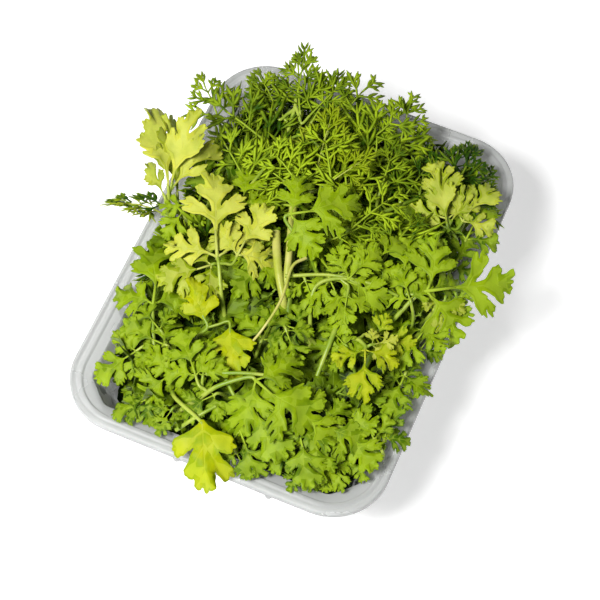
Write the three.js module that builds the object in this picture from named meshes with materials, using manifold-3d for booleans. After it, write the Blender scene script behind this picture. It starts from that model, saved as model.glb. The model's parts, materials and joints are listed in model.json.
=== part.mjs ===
// A bunch of cut coriander piled in a shallow translucent plastic tray.
// Millimetres, +Z up. The origin is the middle of the tray's flat underside, and X runs along the tray.
// Broad, toothed lower leaves lie at the +X end, and fine, feathery upper leaves at the -X end.

import * as THREE from "three";
import { LoftGeometry } from "three/addons/geometries/LoftGeometry.js";
import { mergeVertices } from "three/addons/utils/BufferGeometryUtils.js";
import Module from "manifold-3d";

const wasm = await Module();
wasm.setup();

// Driving dimensions of the tray
const TRAY_LENGTH = 187;
const TRAY_WIDTH = 137;
const TRAY_HEIGHT = 45;
const FLANGE_RADIUS = 24;
const WALL = 0.9;
const BASE_INSET = 16;
const WALL_TOP_INSET = 8.6;
const RIB_RADIUS = 1.5;

// Driving dimensions of the herb
const BLADE = 0.8;
const STALK_WIDTH = 1.8;
const GAP = 0.4;
const MOUND_TOP = 50;
const PACKED_LEAVES = 66;

const TOWARDS_LIGHT = new THREE.Vector3(0.35, 0.1, 1).normalize();
const vec = (p) => new THREE.Vector3(...p);
const fraction = (x) => x - Math.floor(x);
const radians = THREE.MathUtils.degToRad;

// Closed solids from drawn geometry, and back
function solid(geometry) {
  const bare = new THREE.BufferGeometry();
  bare.setAttribute("position", geometry.getAttribute("position"));
  bare.setIndex(geometry.getIndex());
  const merged = mergeVertices(bare, 1e-4);
  return new wasm.Manifold(
    new wasm.Mesh({
      numProp: 3,
      vertProperties: merged.attributes.position.array,
      triVerts: new Uint32Array(merged.index.array),
    }),
  );
}

function geometryOf(manifold) {
  const mesh = manifold.getMesh();
  const geometry = new THREE.BufferGeometry();
  geometry.setAttribute("position", new THREE.BufferAttribute(mesh.vertProperties, 3));
  geometry.setIndex(new THREE.BufferAttribute(mesh.triVerts, 1));
  geometry.computeVertexNormals();
  return geometry;
}

// A tapered stalk along a smooth curve through the points
function stalk(points, startRadius, endRadius, steps = 5, sides = 5) {
  const curve = new THREE.CatmullRomCurve3(points);
  const frames = curve.computeFrenetFrames(steps);
  const rings = [];
  for (let i = 0; i <= steps; i++) {
    const middle = curve.getPointAt(i / steps);
    const radius = THREE.MathUtils.lerp(startRadius, endRadius, i / steps);
    const ring = [];
    for (let k = 0; k < sides; k++) {
      const turn = (2 * Math.PI * k) / sides;
      ring.push(
        middle
          .clone()
          .addScaledVector(frames.normals[i], radius * Math.cos(turn))
          .addScaledVector(frames.binormals[i], radius * Math.sin(turn)),
      );
    }
    rings.push(ring);
  }
  return solid(new LoftGeometry(rings, { capStart: true, capEnd: true }));
}

// Leaf outlines, one unit long, with the stalk's end at (0, 0) and the end tooth near (1, 0)
// A leaflet is a fan of lobes, each cut into teeth, round its own root
function fan(root, aim, radius, spread, lobes, lobeCut, toothCut) {
  const teeth = lobes.reduce((sum, n) => sum + n, 0);
  const step = (2 * spread) / teeth;
  const points = [];
  const polar = (turn, r) =>
    new THREE.Vector2(root[0] + r * Math.cos(radians(turn)), root[1] + r * Math.sin(radians(turn)));
  let tooth = 0;
  lobes.forEach((count, lobe) => {
    for (let k = 0; k < count; k++, tooth++) {
      const turn = -spread + (tooth + 0.5) * step;
      const reach = radius * (1 - 0.22 * (turn / spread) ** 2);
      points.push(polar(aim + turn, reach));
      const last = k === count - 1;
      if (last && lobe === lobes.length - 1) break;
      points.push(polar(aim + turn + step / 2, reach * (last ? lobeCut : toothCut)));
    }
  });
  return points;
}

// Three leaflets on one stalk: the first one and the last are the side ones
function threeLeaflets(side, end) {
  const w = STALK_WIDTH / 2;
  return (size, stalkLength) => {
    const right = fan([0.05, -0.04], -80, 0.62, 38, ...side);
    const left = right.map((p) => new THREE.Vector2(p.x, -p.y)).reverse();
    const middle = fan([0.3, 0], 0, 0.7, 56, ...end);
    const stem = stalkLength / size;
    return [
      new THREE.Vector2(-stem, -w / size),
      ...right,
      new THREE.Vector2(0.3, -w / size),
      ...middle,
      new THREE.Vector2(0.3, w / size),
      ...left,
      new THREE.Vector2(-stem, w / size),
    ];
  };
}

function oneLeaflet(size, stalkLength) {
  const w = STALK_WIDTH / 2;
  return [
    new THREE.Vector2(-stalkLength / size, -w / size),
    ...fan([0, 0], 0, 1, 66, [3, 3, 3], 0.55, 0.84),
    new THREE.Vector2(-stalkLength / size, w / size),
  ];
}

// A feathery leaf: slender segments in pairs along a thin rib, each forked at its tip if there are prongs
function feather(pairs, prongs) {
  const rib = 0.028;
  const halfWidth = 0.035;
  const right = [];
  for (let i = 0; i < pairs; i++) {
    const at = 0.16 + (0.75 / pairs) * i;
    const reach = 0.46 - (0.27 / pairs) * i;
    const turn = radians(-52 + 6 * i);
    const along = (r, side) =>
      new THREE.Vector2(
        at + r * Math.cos(turn) - side * Math.sin(turn),
        -rib + r * Math.sin(turn) + side * Math.cos(turn),
      );
    right.push(along(0, -halfWidth));
    if (prongs) right.push(along(reach * 0.86, -0.13), along(reach * 0.52, 0));
    right.push(along(reach, prongs ? 0.06 : 0), along(0.02, halfWidth));
  }
  const left = right.map((p) => new THREE.Vector2(p.x, -p.y)).reverse();
  const end = prongs ? [[0.93, -0.1], [0.84, 0], [1, 0.07]] : [[1, 0]];
  return (size, stalkLength) => [
    new THREE.Vector2(-stalkLength / size, -STALK_WIDTH / 2 / size),
    ...right,
    ...end.map(([x, y]) => new THREE.Vector2(x, y)),
    ...left,
    new THREE.Vector2(-stalkLength / size, STALK_WIDTH / 2 / size),
  ];
}

const STUB = 2.5;
const OUTLINES = {
  broad: threeLeaflets([[2, 3], 0.6, 0.82], [[2, 3, 2], 0.5, 0.84]),
  lobed: threeLeaflets([[2, 2], 0.42, 0.7], [[2, 2, 2], 0.38, 0.72]),
  packed: threeLeaflets([[1, 2], 0.55, 0.8], [[1, 2, 1], 0.5, 0.8]),
  fan: oneLeaflet,
  feather: feather(3, true),
  packedFeather: feather(3, false),
};

// A blade of constant thickness that arches along its length and across it, then is set in place
function blade(kind, base, tip, roll = 0, stalkLength = STUB, droop = 0.12, cup = 0.12) {
  const from = vec(base);
  const axis = vec(tip).sub(from);
  const size = axis.length();
  axis.normalize();
  const across = new THREE.Vector3().crossVectors(TOWARDS_LIGHT, axis).normalize();
  across.applyAxisAngle(axis, radians(roll));
  const normal = new THREE.Vector3().crossVectors(axis, across);
  const shape = new THREE.Shape(OUTLINES[kind](size, stalkLength));
  const geometry = new THREE.ExtrudeGeometry(shape, { depth: BLADE / size, bevelEnabled: false });
  geometry.translate(0, 0, -BLADE / size / 2);
  const position = geometry.getAttribute("position");
  for (let i = 0; i < position.count; i++) {
    const u = Math.max(position.getX(i), 0);
    const v = position.getY(i);
    position.setZ(i, position.getZ(i) + droop * u * (1 - u) * 2 - cup * v * v * 2);
  }
  geometry.scale(size, size, size);
  geometry.applyMatrix4(new THREE.Matrix4().makeBasis(axis, across, normal).setPosition(from));
  return solid(geometry);
}

// The tray: a loft of rings up the outside, over the flange and down the inside
// A corner's points are given from the sharp corner, as parts of the corner's size
const ROUND = [0, 15, 30, 45, 60, 75, 90].map((a) => [Math.sin(radians(a)) - 1, Math.cos(radians(a)) - 1]);
const CHAMFER = [[-1.2, 0], [-1, -0.04], [-0.77, -0.23], [-0.5, -0.5], [-0.23, -0.77], [-0.04, -1], [0, -1.2]];

function trayRing(inset, z, corner, size) {
  const ring = [];
  for (const [sx, sy] of [[1, 1], [-1, 1], [-1, -1], [1, -1]]) {
    const points = sx * sy > 0 ? [...corner].reverse() : corner;
    for (const [cx, cy] of points) {
      ring.push(
        new THREE.Vector3(
          sx * (TRAY_LENGTH / 2 - inset + cx * size),
          sy * (TRAY_WIDTH / 2 - inset + cy * size),
          z,
        ),
      );
    }
  }
  return ring;
}

function tray() {
  const skirt = 3.2;
  const ledge = 1.6;
  const flangeWidth = 5;
  const wallTop = TRAY_HEIGHT - ledge - 1.4;
  const facet = 10;
  const round = (inset, z) => trayRing(inset, z, ROUND, FLANGE_RADIUS - inset);
  const facetted = (inset, z) => trayRing(inset, z, CHAMFER, facet);
  const outside = [
    facetted(BASE_INSET + 2, 0),
    facetted(BASE_INSET, 1.6),
    facetted(WALL_TOP_INSET, wallTop),
    round(flangeWidth + 0.7 - WALL, TRAY_HEIGHT - ledge - WALL),
    round(WALL, TRAY_HEIGHT - WALL),
    round(WALL, TRAY_HEIGHT - skirt),
    round(0, TRAY_HEIGHT - skirt),
    round(0, TRAY_HEIGHT - 0.6),
    round(0.6, TRAY_HEIGHT),
  ];
  const inside = [
    facetted(BASE_INSET + 2 + WALL, WALL),
    facetted(BASE_INSET + WALL, 1.6 + WALL),
    facetted(WALL_TOP_INSET + WALL, TRAY_HEIGHT - ledge),
    round(flangeWidth + 0.7, TRAY_HEIGHT - ledge),
    round(flangeWidth, TRAY_HEIGHT),
    round(flangeWidth, TRAY_HEIGHT + 1),
  ];
  const capped = { capStart: true, capEnd: true };
  let body = solid(new LoftGeometry(outside, capped)).subtract(solid(new LoftGeometry(inside, capped)));
  const ribs = [];
  for (const side of [1, -1]) {
    for (const x of [-42, 0, 42]) ribs.push([x, side, 0]);
    for (const y of [-21, 21]) ribs.push([y, side, 90]);
  }
  for (const [along, side, turn] of ribs) {
    const half = turn ? TRAY_LENGTH / 2 : TRAY_WIDTH / 2;
    const out = RIB_RADIUS - WALL + 0.2;
    const foot = new THREE.Vector3(along, side * (half - BASE_INSET + out), 2.2);
    const head = new THREE.Vector3(along, side * (half - WALL_TOP_INSET + out), wallTop - 1);
    if (turn) [foot, head].forEach((p) => p.set(p.y, p.x, p.z));
    body = body.add(stalk([foot, head], RIB_RADIUS, RIB_RADIUS, 1, 8));
  }
  return body;
}

// The packed herb in the tray. Its mound is highest at the feathery end and low in one near corner
function moundHeight(x, y) {
  const along = (x + 22) / (TRAY_LENGTH / 2);
  const across = y / (TRAY_WIDTH / 2);
  const hollow = Math.exp(-(((x - 74) / 24) ** 2) - ((y + 52) / 22) ** 2);
  const farCorner = Math.exp(-(((x + 78) / 16) ** 2) - ((y + 56) / 14) ** 2);
  return MOUND_TOP - 7 * along ** 2 - 7 * across ** 2 - 24 * hollow - 14 * farCorner;
}

function packedCore() {
  const clearance = 1.4;
  const corner = 16;
  const wallInset = (z) => BASE_INSET + WALL - ((BASE_INSET - WALL_TOP_INSET) * z) / TRAY_HEIGHT;
  const alongWall = (most, depth) =>
    trayRing(wallInset(most), 0, CHAMFER, corner).map((p, i) => {
      const z = Math.min(most, moundHeight(p.x, p.y) - depth);
      return trayRing(wallInset(z) + clearance, z, CHAMFER, corner)[i];
    });
  const acrossMound = (share) => {
    const inset = wallInset(TRAY_HEIGHT) + clearance + (TRAY_WIDTH / 2 - BASE_INSET) * (1 - share);
    return trayRing(inset, 0, CHAMFER, corner * share + 2).map((p) => p.setZ(moundHeight(p.x, p.y)));
  };
  const foot = trayRing(BASE_INSET + WALL + clearance + 2, WALL + GAP, CHAMFER, corner);
  const rings = [foot, alongWall(20, 9), alongWall(36, 3), ...[0.94, 0.7, 0.35].map(acrossMound)];
  return solid(new LoftGeometry(rings, { capStart: true, capEnd: true }));
}

// Leaves that stand out of the packed herb, evenly spread by a low-discrepancy rule and facing outwards
function packedLeaf(i, share, steeper) {
  const x = (fraction(i * 0.7549) - 0.5) * (TRAY_LENGTH - 42);
  const y = (fraction(i * 0.5698) - 0.5) * (TRAY_WIDTH - 40);
  const heading = Math.atan2(y, x - 30) + radians(120 * (fraction(i * 0.382) - 0.5));
  const feathery = x < -8 - 0.35 * y;
  const size = share * ((feathery ? 25 : 22) + 7 * fraction(i * 0.414));
  const rise = radians(18 + 24 * fraction(i * 0.618) + steeper);
  const lift = 2;
  const base = [x, y, moundHeight(x, y) + lift];
  const tip = [
    x + size * Math.cos(rise) * Math.cos(heading),
    y + size * Math.cos(rise) * Math.sin(heading),
    base[2] + size * Math.sin(rise),
  ];
  const roll = 40 * (fraction(i * 0.732) - 0.5);
  return blade(feathery ? "packedFeather" : "packed", base, tip, roll, (lift + 3) / Math.sin(rise));
}

// The sprigs that lie on the pile. A stem is [radius, point, point, ...], and a leaf is
// [kind, place along the stem from 0 to 1, base, tip, roll], with the stalk drawn from the stem to the base
const SPRIGS = [
  {
    name: "sprig_left_upright",
    colour: 0xa9b842,
    stem: [1.1, [14, -36, 47], [4, -46, 56], [-5, -56, 58]],
    leaves: [
      ["lobed", 1, [-8, -58, 60], [-33, -74, 77], 10],
      ["feather", 0.8, [2, -60, 58], [8, -84, 60], 60],
    ],
  },
  {
    name: "sprig_left_broad",
    colour: 0x6f9a1f,
    stem: [1.2, [66, -30, 42], [58, -38, 54], [46, -44, 58]],
    leaves: [
      ["broad", 1, [42, -46, 58], [13, -55, 60], 0],
      ["broad", 0.5, [62, -44, 55], [78, -56, 50], 0],
    ],
  },
  {
    name: "sprig_pale_centre",
    colour: 0xb3c25a,
    stem: [1.1, [36, -16, 46], [28, -22, 61], [20, -26, 67]],
    leaves: [
      ["lobed", 1, [16, -29, 67], [-15, -45, 74], 0],
      ["broad", 0.8, [12, -22, 67], [-13, -20, 71], 0],
    ],
  },
  {
    name: "sprig_yellow_near",
    colour: 0xb9cc1c,
    stem: [1, [56, -24, 44], [48, -24, 56], [44, -20, 60]],
    leaves: [
      ["fan", 1, [41, -24, 62], [28, -34, 66], 0],
      ["fan", 0.7, [42, -12, 62], [60, -2, 60], 0],
    ],
  },
  {
    name: "sprig_near_centre",
    colour: 0x6c9626,
    stem: [1.3, [76, -20, 44], [72, -12, 57], [67, -6, 64], [61, 4, 67]],
    leaves: [
      ["broad", 1, [60, 7, 67], [70, 38, 62], 0],
      ["broad", 0.55, [66, -16, 63], [50, -30, 65], 0],
    ],
  },
  {
    name: "sprig_yellow_over_rim",
    colour: 0xccd313,
    stem: [1.1, [66, -26, 44], [74, -22, 54], [82, -10, 58]],
    leaves: [["fan", 1, [82, -6, 59], [105, 5, 50], 0]],
  },
  {
    name: "sprig_near_right",
    colour: 0x77a02b,
    stem: [1.2, [52, 20, 44], [60, 26, 56], [68, 28, 58]],
    leaves: [
      ["broad", 1, [70, 30, 58], [88, 44, 52], 0],
      ["broad", 0.6, [62, 36, 57], [66, 58, 54], 0],
    ],
  },
  {
    name: "sprig_right_narrow",
    colour: 0xa9bf2e,
    stem: [1.1, [30, 26, 46], [25, 34, 60], [28, 40, 63]],
    leaves: [
      ["lobed", 1, [29, 41, 64], [49, 49, 63], 0],
      ["lobed", 0.7, [20, 42, 60], [16, 58, 58], 0],
    ],
  },
  {
    name: "sprig_right_over_rim",
    colour: 0x8cab22,
    stem: [1.3, [16, 40, 46], [8, 46, 58], [2, 50, 64]],
    leaves: [
      ["lobed", 1, [-4, 54, 66], [-24, 84, 62], 0],
      ["lobed", 0.8, [-4, 44, 65], [-24, 38, 70], 0],
    ],
  },
  {
    name: "sprig_far_right",
    colour: 0xa5b336,
    stem: [1.1, [-14, 40, 46], [-28, 46, 56], [-40, 50, 60]],
    leaves: [
      ["lobed", 1, [-42, 49, 60], [-62, 36, 70], 0],
      ["lobed", 0.8, [-44, 55, 59], [-64, 60, 64], 0],
    ],
  },
  {
    name: "sprig_centre_broad",
    colour: 0x7ea51f,
    stem: [1, [5, 14, 50], [0, 4, 68], [-5, -7, 75]],
    leaves: [["broad", 1, [-9, -8, 77], [-23, 18, 79], 0]],
  },
  {
    name: "sprig_centre_narrow",
    colour: 0x9bbb2e,
    stem: [1, [30, 18, 50], [18, 13, 65], [11, 14, 69], [6, 22, 70], [2, 34, 68]],
    leaves: [
      ["lobed", 0.75, [6, 24, 71], [-12, 30, 71], 0],
      ["lobed", 0.85, [12, 26, 69], [28, 30, 66], 0],
    ],
  },
  {
    name: "sprig_thick_stems",
    colour: 0xb9c462,
    stem: [2, [34, 8, 48], [22, 5, 58], [-4, -4, 61], [-40, -8, 63]],
    leaves: [
      ["feather", 1, [-42, -9, 65], [-66, -12, 74], 0],
      ["feather", 0.8, [-34, -2, 66], [-50, 12, 76], 0],
    ],
  },
  {
    name: "sprig_feather_middle",
    colour: 0x5f9318,
    stem: [1.3, [-24, -24, 47], [-46, -27, 58], [-64, -29, 63]],
    leaves: [
      ["feather", 1, [-67, -30, 65], [-91, -35, 72], 0],
      ["feather", 0.8, [-62, -22, 65], [-86, -13, 69], 0],
      ["feather", 0.75, [-60, -36, 63], [-76, -52, 64], 0],
    ],
  },
  {
    name: "sprig_feather_right",
    colour: 0x4f8414,
    stem: [1.2, [-24, 14, 47], [-46, 17, 56], [-62, 19, 60]],
    leaves: [
      ["feather", 1, [-66, 18, 62], [-90, 14, 66], 0],
      ["feather", 0.75, [-60, 10, 61], [-80, 0, 62], 0],
    ],
  },
  {
    name: "sprig_feather_left",
    colour: 0x5c8f16,
    stem: [1.2, [-16, -42, 45], [-34, -49, 54], [-46, -54, 56]],
    leaves: [
      ["feather", 1, [-48, -57, 57], [-66, -74, 61], 0],
      ["feather", 0.75, [-44, -46, 57], [-61, -47, 60], 0],
    ],
  },
  {
    name: "sprig_feather_corner",
    colour: 0x46760f,
    stem: [1.2, [-24, 32, 46], [-42, 37, 53], [-56, 39, 55]],
    leaves: [
      ["feather", 1, [-60, 41, 57], [-83, 44, 56], 0],
      ["feather", 0.75, [-54, 33, 57], [-74, 28, 59], 0],
    ],
  },
];

function sprig({ stem, leaves }) {
  const [radius, ...points] = stem;
  const path = points.map(vec);
  const curve = new THREE.CatmullRomCurve3(path);
  const pieces = [stalk(path, radius, radius * 0.75, 6, 6)];
  for (const [kind, place, base, tip, roll] of leaves) {
    const axis = vec(tip).sub(vec(base)).normalize();
    const start = curve.getPointAt(place);
    const end = vec(base).addScaledVector(axis, 2);
    const bend = vec(base).addScaledVector(axis, -0.35 * start.distanceTo(vec(base)));
    pieces.push(stalk([start, bend, end], radius * 0.75, 0.8, 3, 5));
    pieces.push(blade(kind, base, tip, roll));
  }
  return wasm.Manifold.union(pieces);
}

// The model
const model = new THREE.Group();

function place(name, manifold, colour, finish) {
  const material = new THREE.MeshStandardMaterial({ color: colour, metalness: 0, ...finish });
  const mesh = new THREE.Mesh(geometryOf(manifold), material);
  mesh.name = name;
  model.add(mesh);
}

const traySolid = tray();
place("tray", traySolid, 0xe4e6e4, { roughness: 0.35, transparent: true, opacity: 0.6 });

const sprigSolids = SPRIGS.map((s) => sprig(s));
SPRIGS.forEach((s, i) => place(s.name, sprigSolids[i], s.colour, { roughness: 0.55 }));

// The stems stand in plain holes in the packed herb
let core = packedCore();
for (const { stem } of SPRIGS) {
  const [radius, ...points] = stem;
  const path = points.map(vec);
  const past = path[0].clone().sub(path[1]).setLength(2);
  path[0].add(past);
  const sleeve = (r) => (r + GAP) / Math.cos(Math.PI / 6);
  core = core.subtract(stalk(path, sleeve(radius), sleeve(radius * 0.75), 6, 6));
}
// A packed leaf keeps clear of the tray and the sprigs, smaller and steeper where it must
const neighbours = [traySolid, ...sprigSolids];
const isClear = (leaf) => neighbours.every((other) => leaf.minGap(other, 2 * GAP) > GAP);
const packedPieces = [core];
for (let i = 1; i <= PACKED_LEAVES; i++) {
  const tries = [[1, 0], [0.85, 16], [0.7, 32], [0.55, 8]];
  const leaf = tries.map(([share, steeper]) => packedLeaf(i, share, steeper)).find(isClear);
  if (leaf) packedPieces.push(leaf);
}
const [packed] = wasm.Manifold.union(packedPieces).decompose().sort((a, b) => b.volume() - a.volume());
place("packed_bunch", packed, 0x4f7a1c, { roughness: 0.6 });

export default model;
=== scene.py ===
# %% [markdown]
# # Coriander in its tray
# A bunch of cut coriander lies loose in a shallow, frosted plastic tray. The herb has two kinds of leaf.
# The low ones are broad, with three toothed leaflets, and the high ones are fine and feathery. The packed
# model already fixes the sizes and places, so this lesson only makes the finer surface of each piece.

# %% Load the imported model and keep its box
import json
import math
import random

import bmesh
import bpy
import numpy as np
from mathutils import Matrix, Vector
from mathutils.geometry import delaunay_2d_cdt

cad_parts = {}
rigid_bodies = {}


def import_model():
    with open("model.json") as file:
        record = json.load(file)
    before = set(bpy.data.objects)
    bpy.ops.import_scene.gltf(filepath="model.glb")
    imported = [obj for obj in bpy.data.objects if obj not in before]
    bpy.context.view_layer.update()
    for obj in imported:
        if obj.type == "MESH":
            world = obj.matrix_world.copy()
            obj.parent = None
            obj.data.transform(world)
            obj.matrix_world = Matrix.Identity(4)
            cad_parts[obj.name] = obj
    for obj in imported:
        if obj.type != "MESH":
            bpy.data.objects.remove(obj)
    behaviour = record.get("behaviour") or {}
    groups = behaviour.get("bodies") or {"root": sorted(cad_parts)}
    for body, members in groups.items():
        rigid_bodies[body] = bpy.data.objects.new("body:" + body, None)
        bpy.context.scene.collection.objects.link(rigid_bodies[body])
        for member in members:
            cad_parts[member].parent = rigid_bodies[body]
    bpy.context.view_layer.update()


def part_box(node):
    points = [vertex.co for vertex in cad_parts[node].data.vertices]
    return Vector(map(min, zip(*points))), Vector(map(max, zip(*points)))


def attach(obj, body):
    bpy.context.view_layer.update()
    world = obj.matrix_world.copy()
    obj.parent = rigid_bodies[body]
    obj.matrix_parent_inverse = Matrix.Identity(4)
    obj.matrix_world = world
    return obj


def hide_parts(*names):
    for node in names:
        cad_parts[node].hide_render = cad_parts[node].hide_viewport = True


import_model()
MM = 0.001

tray_low, tray_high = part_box("tray")
TRAY_LENGTH = (tray_high[0] - tray_low[0]) / MM
TRAY_WIDTH = (tray_high[1] - tray_low[1]) / MM
TRAY_HEIGHT = (tray_high[2] - tray_low[2]) / MM
print(f"tray {TRAY_LENGTH:.1f} x {TRAY_WIDTH:.1f} x {TRAY_HEIGHT:.1f} mm")

# %% [markdown]
# ## Camera and studio
# The photograph looks steeply down on the tray from its near end, through a long lens. The camera stands
# where the outline of the tray's flange says that it stood. The studio is a white floor, a wide soft lamp
# on the left and a bright even sky, so that the only strong shadow falls to the right.

# %% Camera
CAMERA_AZIMUTH = math.radians(110.82)
CAMERA_ELEVATION = math.radians(62.34)
CAMERA_ROLL = math.radians(2.48)
CAMERA_DISTANCE = 821 * MM
CAMERA_TARGET = Vector((9.7, 5.1, TRAY_HEIGHT)) * MM
LENS = 119.4
SENSOR = 36


def camera_axes():
    right = Vector((math.cos(CAMERA_AZIMUTH), math.sin(CAMERA_AZIMUTH), 0))
    back = Vector((
        math.sin(CAMERA_AZIMUTH) * math.cos(CAMERA_ELEVATION),
        -math.cos(CAMERA_AZIMUTH) * math.cos(CAMERA_ELEVATION),
        math.sin(CAMERA_ELEVATION),
    ))
    up = back.cross(right)
    c, s = math.cos(CAMERA_ROLL), math.sin(CAMERA_ROLL)
    return right * c + up * s, up * c - right * s, back


def make_camera():
    right, up, back = camera_axes()
    data = bpy.data.cameras.new("camera")
    data.lens = LENS
    data.sensor_width = SENSOR
    camera = bpy.data.objects.new("camera", data)
    bpy.context.collection.objects.link(camera)
    turn = Matrix((right, up, back)).transposed().to_4x4()
    camera.matrix_world = Matrix.Translation(CAMERA_TARGET + back * CAMERA_DISTANCE) @ turn
    bpy.context.scene.camera = camera


make_camera()
print("camera", round(CAMERA_DISTANCE / MM), "mm from the bunch")

# %% [markdown]
# The floor glows a little, so that it comes out white, as in the photograph. One wide lamp makes the
# shadow, and the sky lights what the lamp doesn't reach.

# %% Floor, sky and lamp
SKY_STRENGTH = 0.15
KEY_POWER = 15.0
KEY_SIZE = 0.3
KEY_PLACE = (0.55, -0.25, 0.97)
FLOOR_WHITE = 0.8
FLOOR_GLOW = 0.53
LAMP_AIM = Vector((0, 0, 0.04))


def make_floor():
    half = 3.0
    material = bpy.data.materials.new("floor_white")
    material.use_nodes = True
    shader = material.node_tree.nodes["Principled BSDF"]
    shader.inputs["Base Color"].default_value = (FLOOR_WHITE, FLOOR_WHITE, FLOOR_WHITE, 1)
    shader.inputs["Roughness"].default_value = 0.9
    shader.inputs["Emission Color"].default_value = (1, 1, 1, 1)
    shader.inputs["Emission Strength"].default_value = FLOOR_GLOW
    mesh = bpy.data.meshes.new("floor")
    corners = [(-half, -half, 0), (half, -half, 0), (half, half, 0), (-half, half, 0)]
    mesh.from_pydata(corners, [], [(0, 1, 2, 3)])
    floor = bpy.data.objects.new("floor", mesh)
    mesh.materials.append(material)
    bpy.context.collection.objects.link(floor)


def make_lamp(name, place, power, size):
    data = bpy.data.lights.new(name, "AREA")
    data.energy = power
    data.size = size
    lamp = bpy.data.objects.new(name, data)
    bpy.context.collection.objects.link(lamp)
    lamp.location = place
    lamp.rotation_euler = (Vector(place) - LAMP_AIM).to_track_quat("Z", "Y").to_euler()


def make_sky():
    world = bpy.data.worlds.new("sky")
    bpy.context.scene.world = world
    world.use_nodes = True
    world.node_tree.nodes["Background"].inputs["Color"].default_value = (1, 1, 1, 1)
    world.node_tree.nodes["Background"].inputs["Strength"].default_value = SKY_STRENGTH


make_floor()
make_sky()
make_lamp("key", KEY_PLACE, KEY_POWER, KEY_SIZE)
bpy.context.scene.view_settings.view_transform = "Standard"
print("floor, sky and lamp made")

# %% [markdown]
# ## Shared surface effects
# Every leaf has the same parts to its finish: a body colour that differs from leaf to leaf, paler veins
# along the ribs of each leaflet, a dull and paler underside, and a pale stalk. So they are one node
# group, with the colours as inputs. The meshes carry what it reads: the UV map "blade" holds how far
# out a point is and how far from a rib, in widths of that rib, and three attributes hold the leaf's
# shade, whether the point is on a stalk, and whether it is on the underside. The shade is the leaf's own
# tone, and for the leaves deep in the pile it is also painted shade.

# %% A helper that adds a node and sets its values and links
def srgb(red, green, blue):
    """A colour as seen on a screen, 0 to 255, as the linear values that shaders use."""
    parts = [c / 255 for c in (red, green, blue)]
    return tuple(p / 12.92 if p <= 0.04045 else ((p + 0.055) / 1.055) ** 2.4 for p in parts)


def add_node(tree, kind, links=None, **values):
    """Adds a node, sets its properties, and links or sets its inputs by name or number."""
    node = tree.nodes.new(kind)
    for name, value in values.items():
        setattr(node, name, value)
    for name, value in (links or {}).items():
        socket = node.inputs[name]
        if isinstance(value, bpy.types.NodeSocket):
            tree.links.new(value, socket)
        else:
            socket.default_value = value
    return node


def shader_math(tree, operation, first, second=0.0, third=0.0):
    node = add_node(tree, "ShaderNodeMath", {0: first, 1: second, 2: third}, operation=operation)
    return node.outputs[0]


def mix_colour(tree, factor, first, second):
    node = add_node(tree, "ShaderNodeMix", data_type="RGBA")
    for socket, value in zip((node.inputs[0], node.inputs[6], node.inputs[7]), (factor, first, second)):
        if isinstance(value, bpy.types.NodeSocket):
            tree.links.new(value, socket)
        else:
            socket.default_value = value
    return node.outputs[2]


def smooth_between(tree, value, low, high, start=0.0, end=1.0):
    links = {0: value, 1: low, 2: high, 3: start, 4: end}
    node = add_node(tree, "ShaderNodeMapRange", links, interpolation_type="SMOOTHSTEP")
    return node.outputs[0]


def noise(tree, place, scale, detail):
    links = {"Vector": place, "Scale": scale, "Detail": detail}
    return add_node(tree, "ShaderNodeTexNoise", links).outputs["Fac"]


def new_material(name):
    """A new material, its node tree and its shader."""
    material = bpy.data.materials.new(name)
    material.use_nodes = True
    return material, material.node_tree, material.node_tree.nodes["Principled BSDF"]
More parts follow.
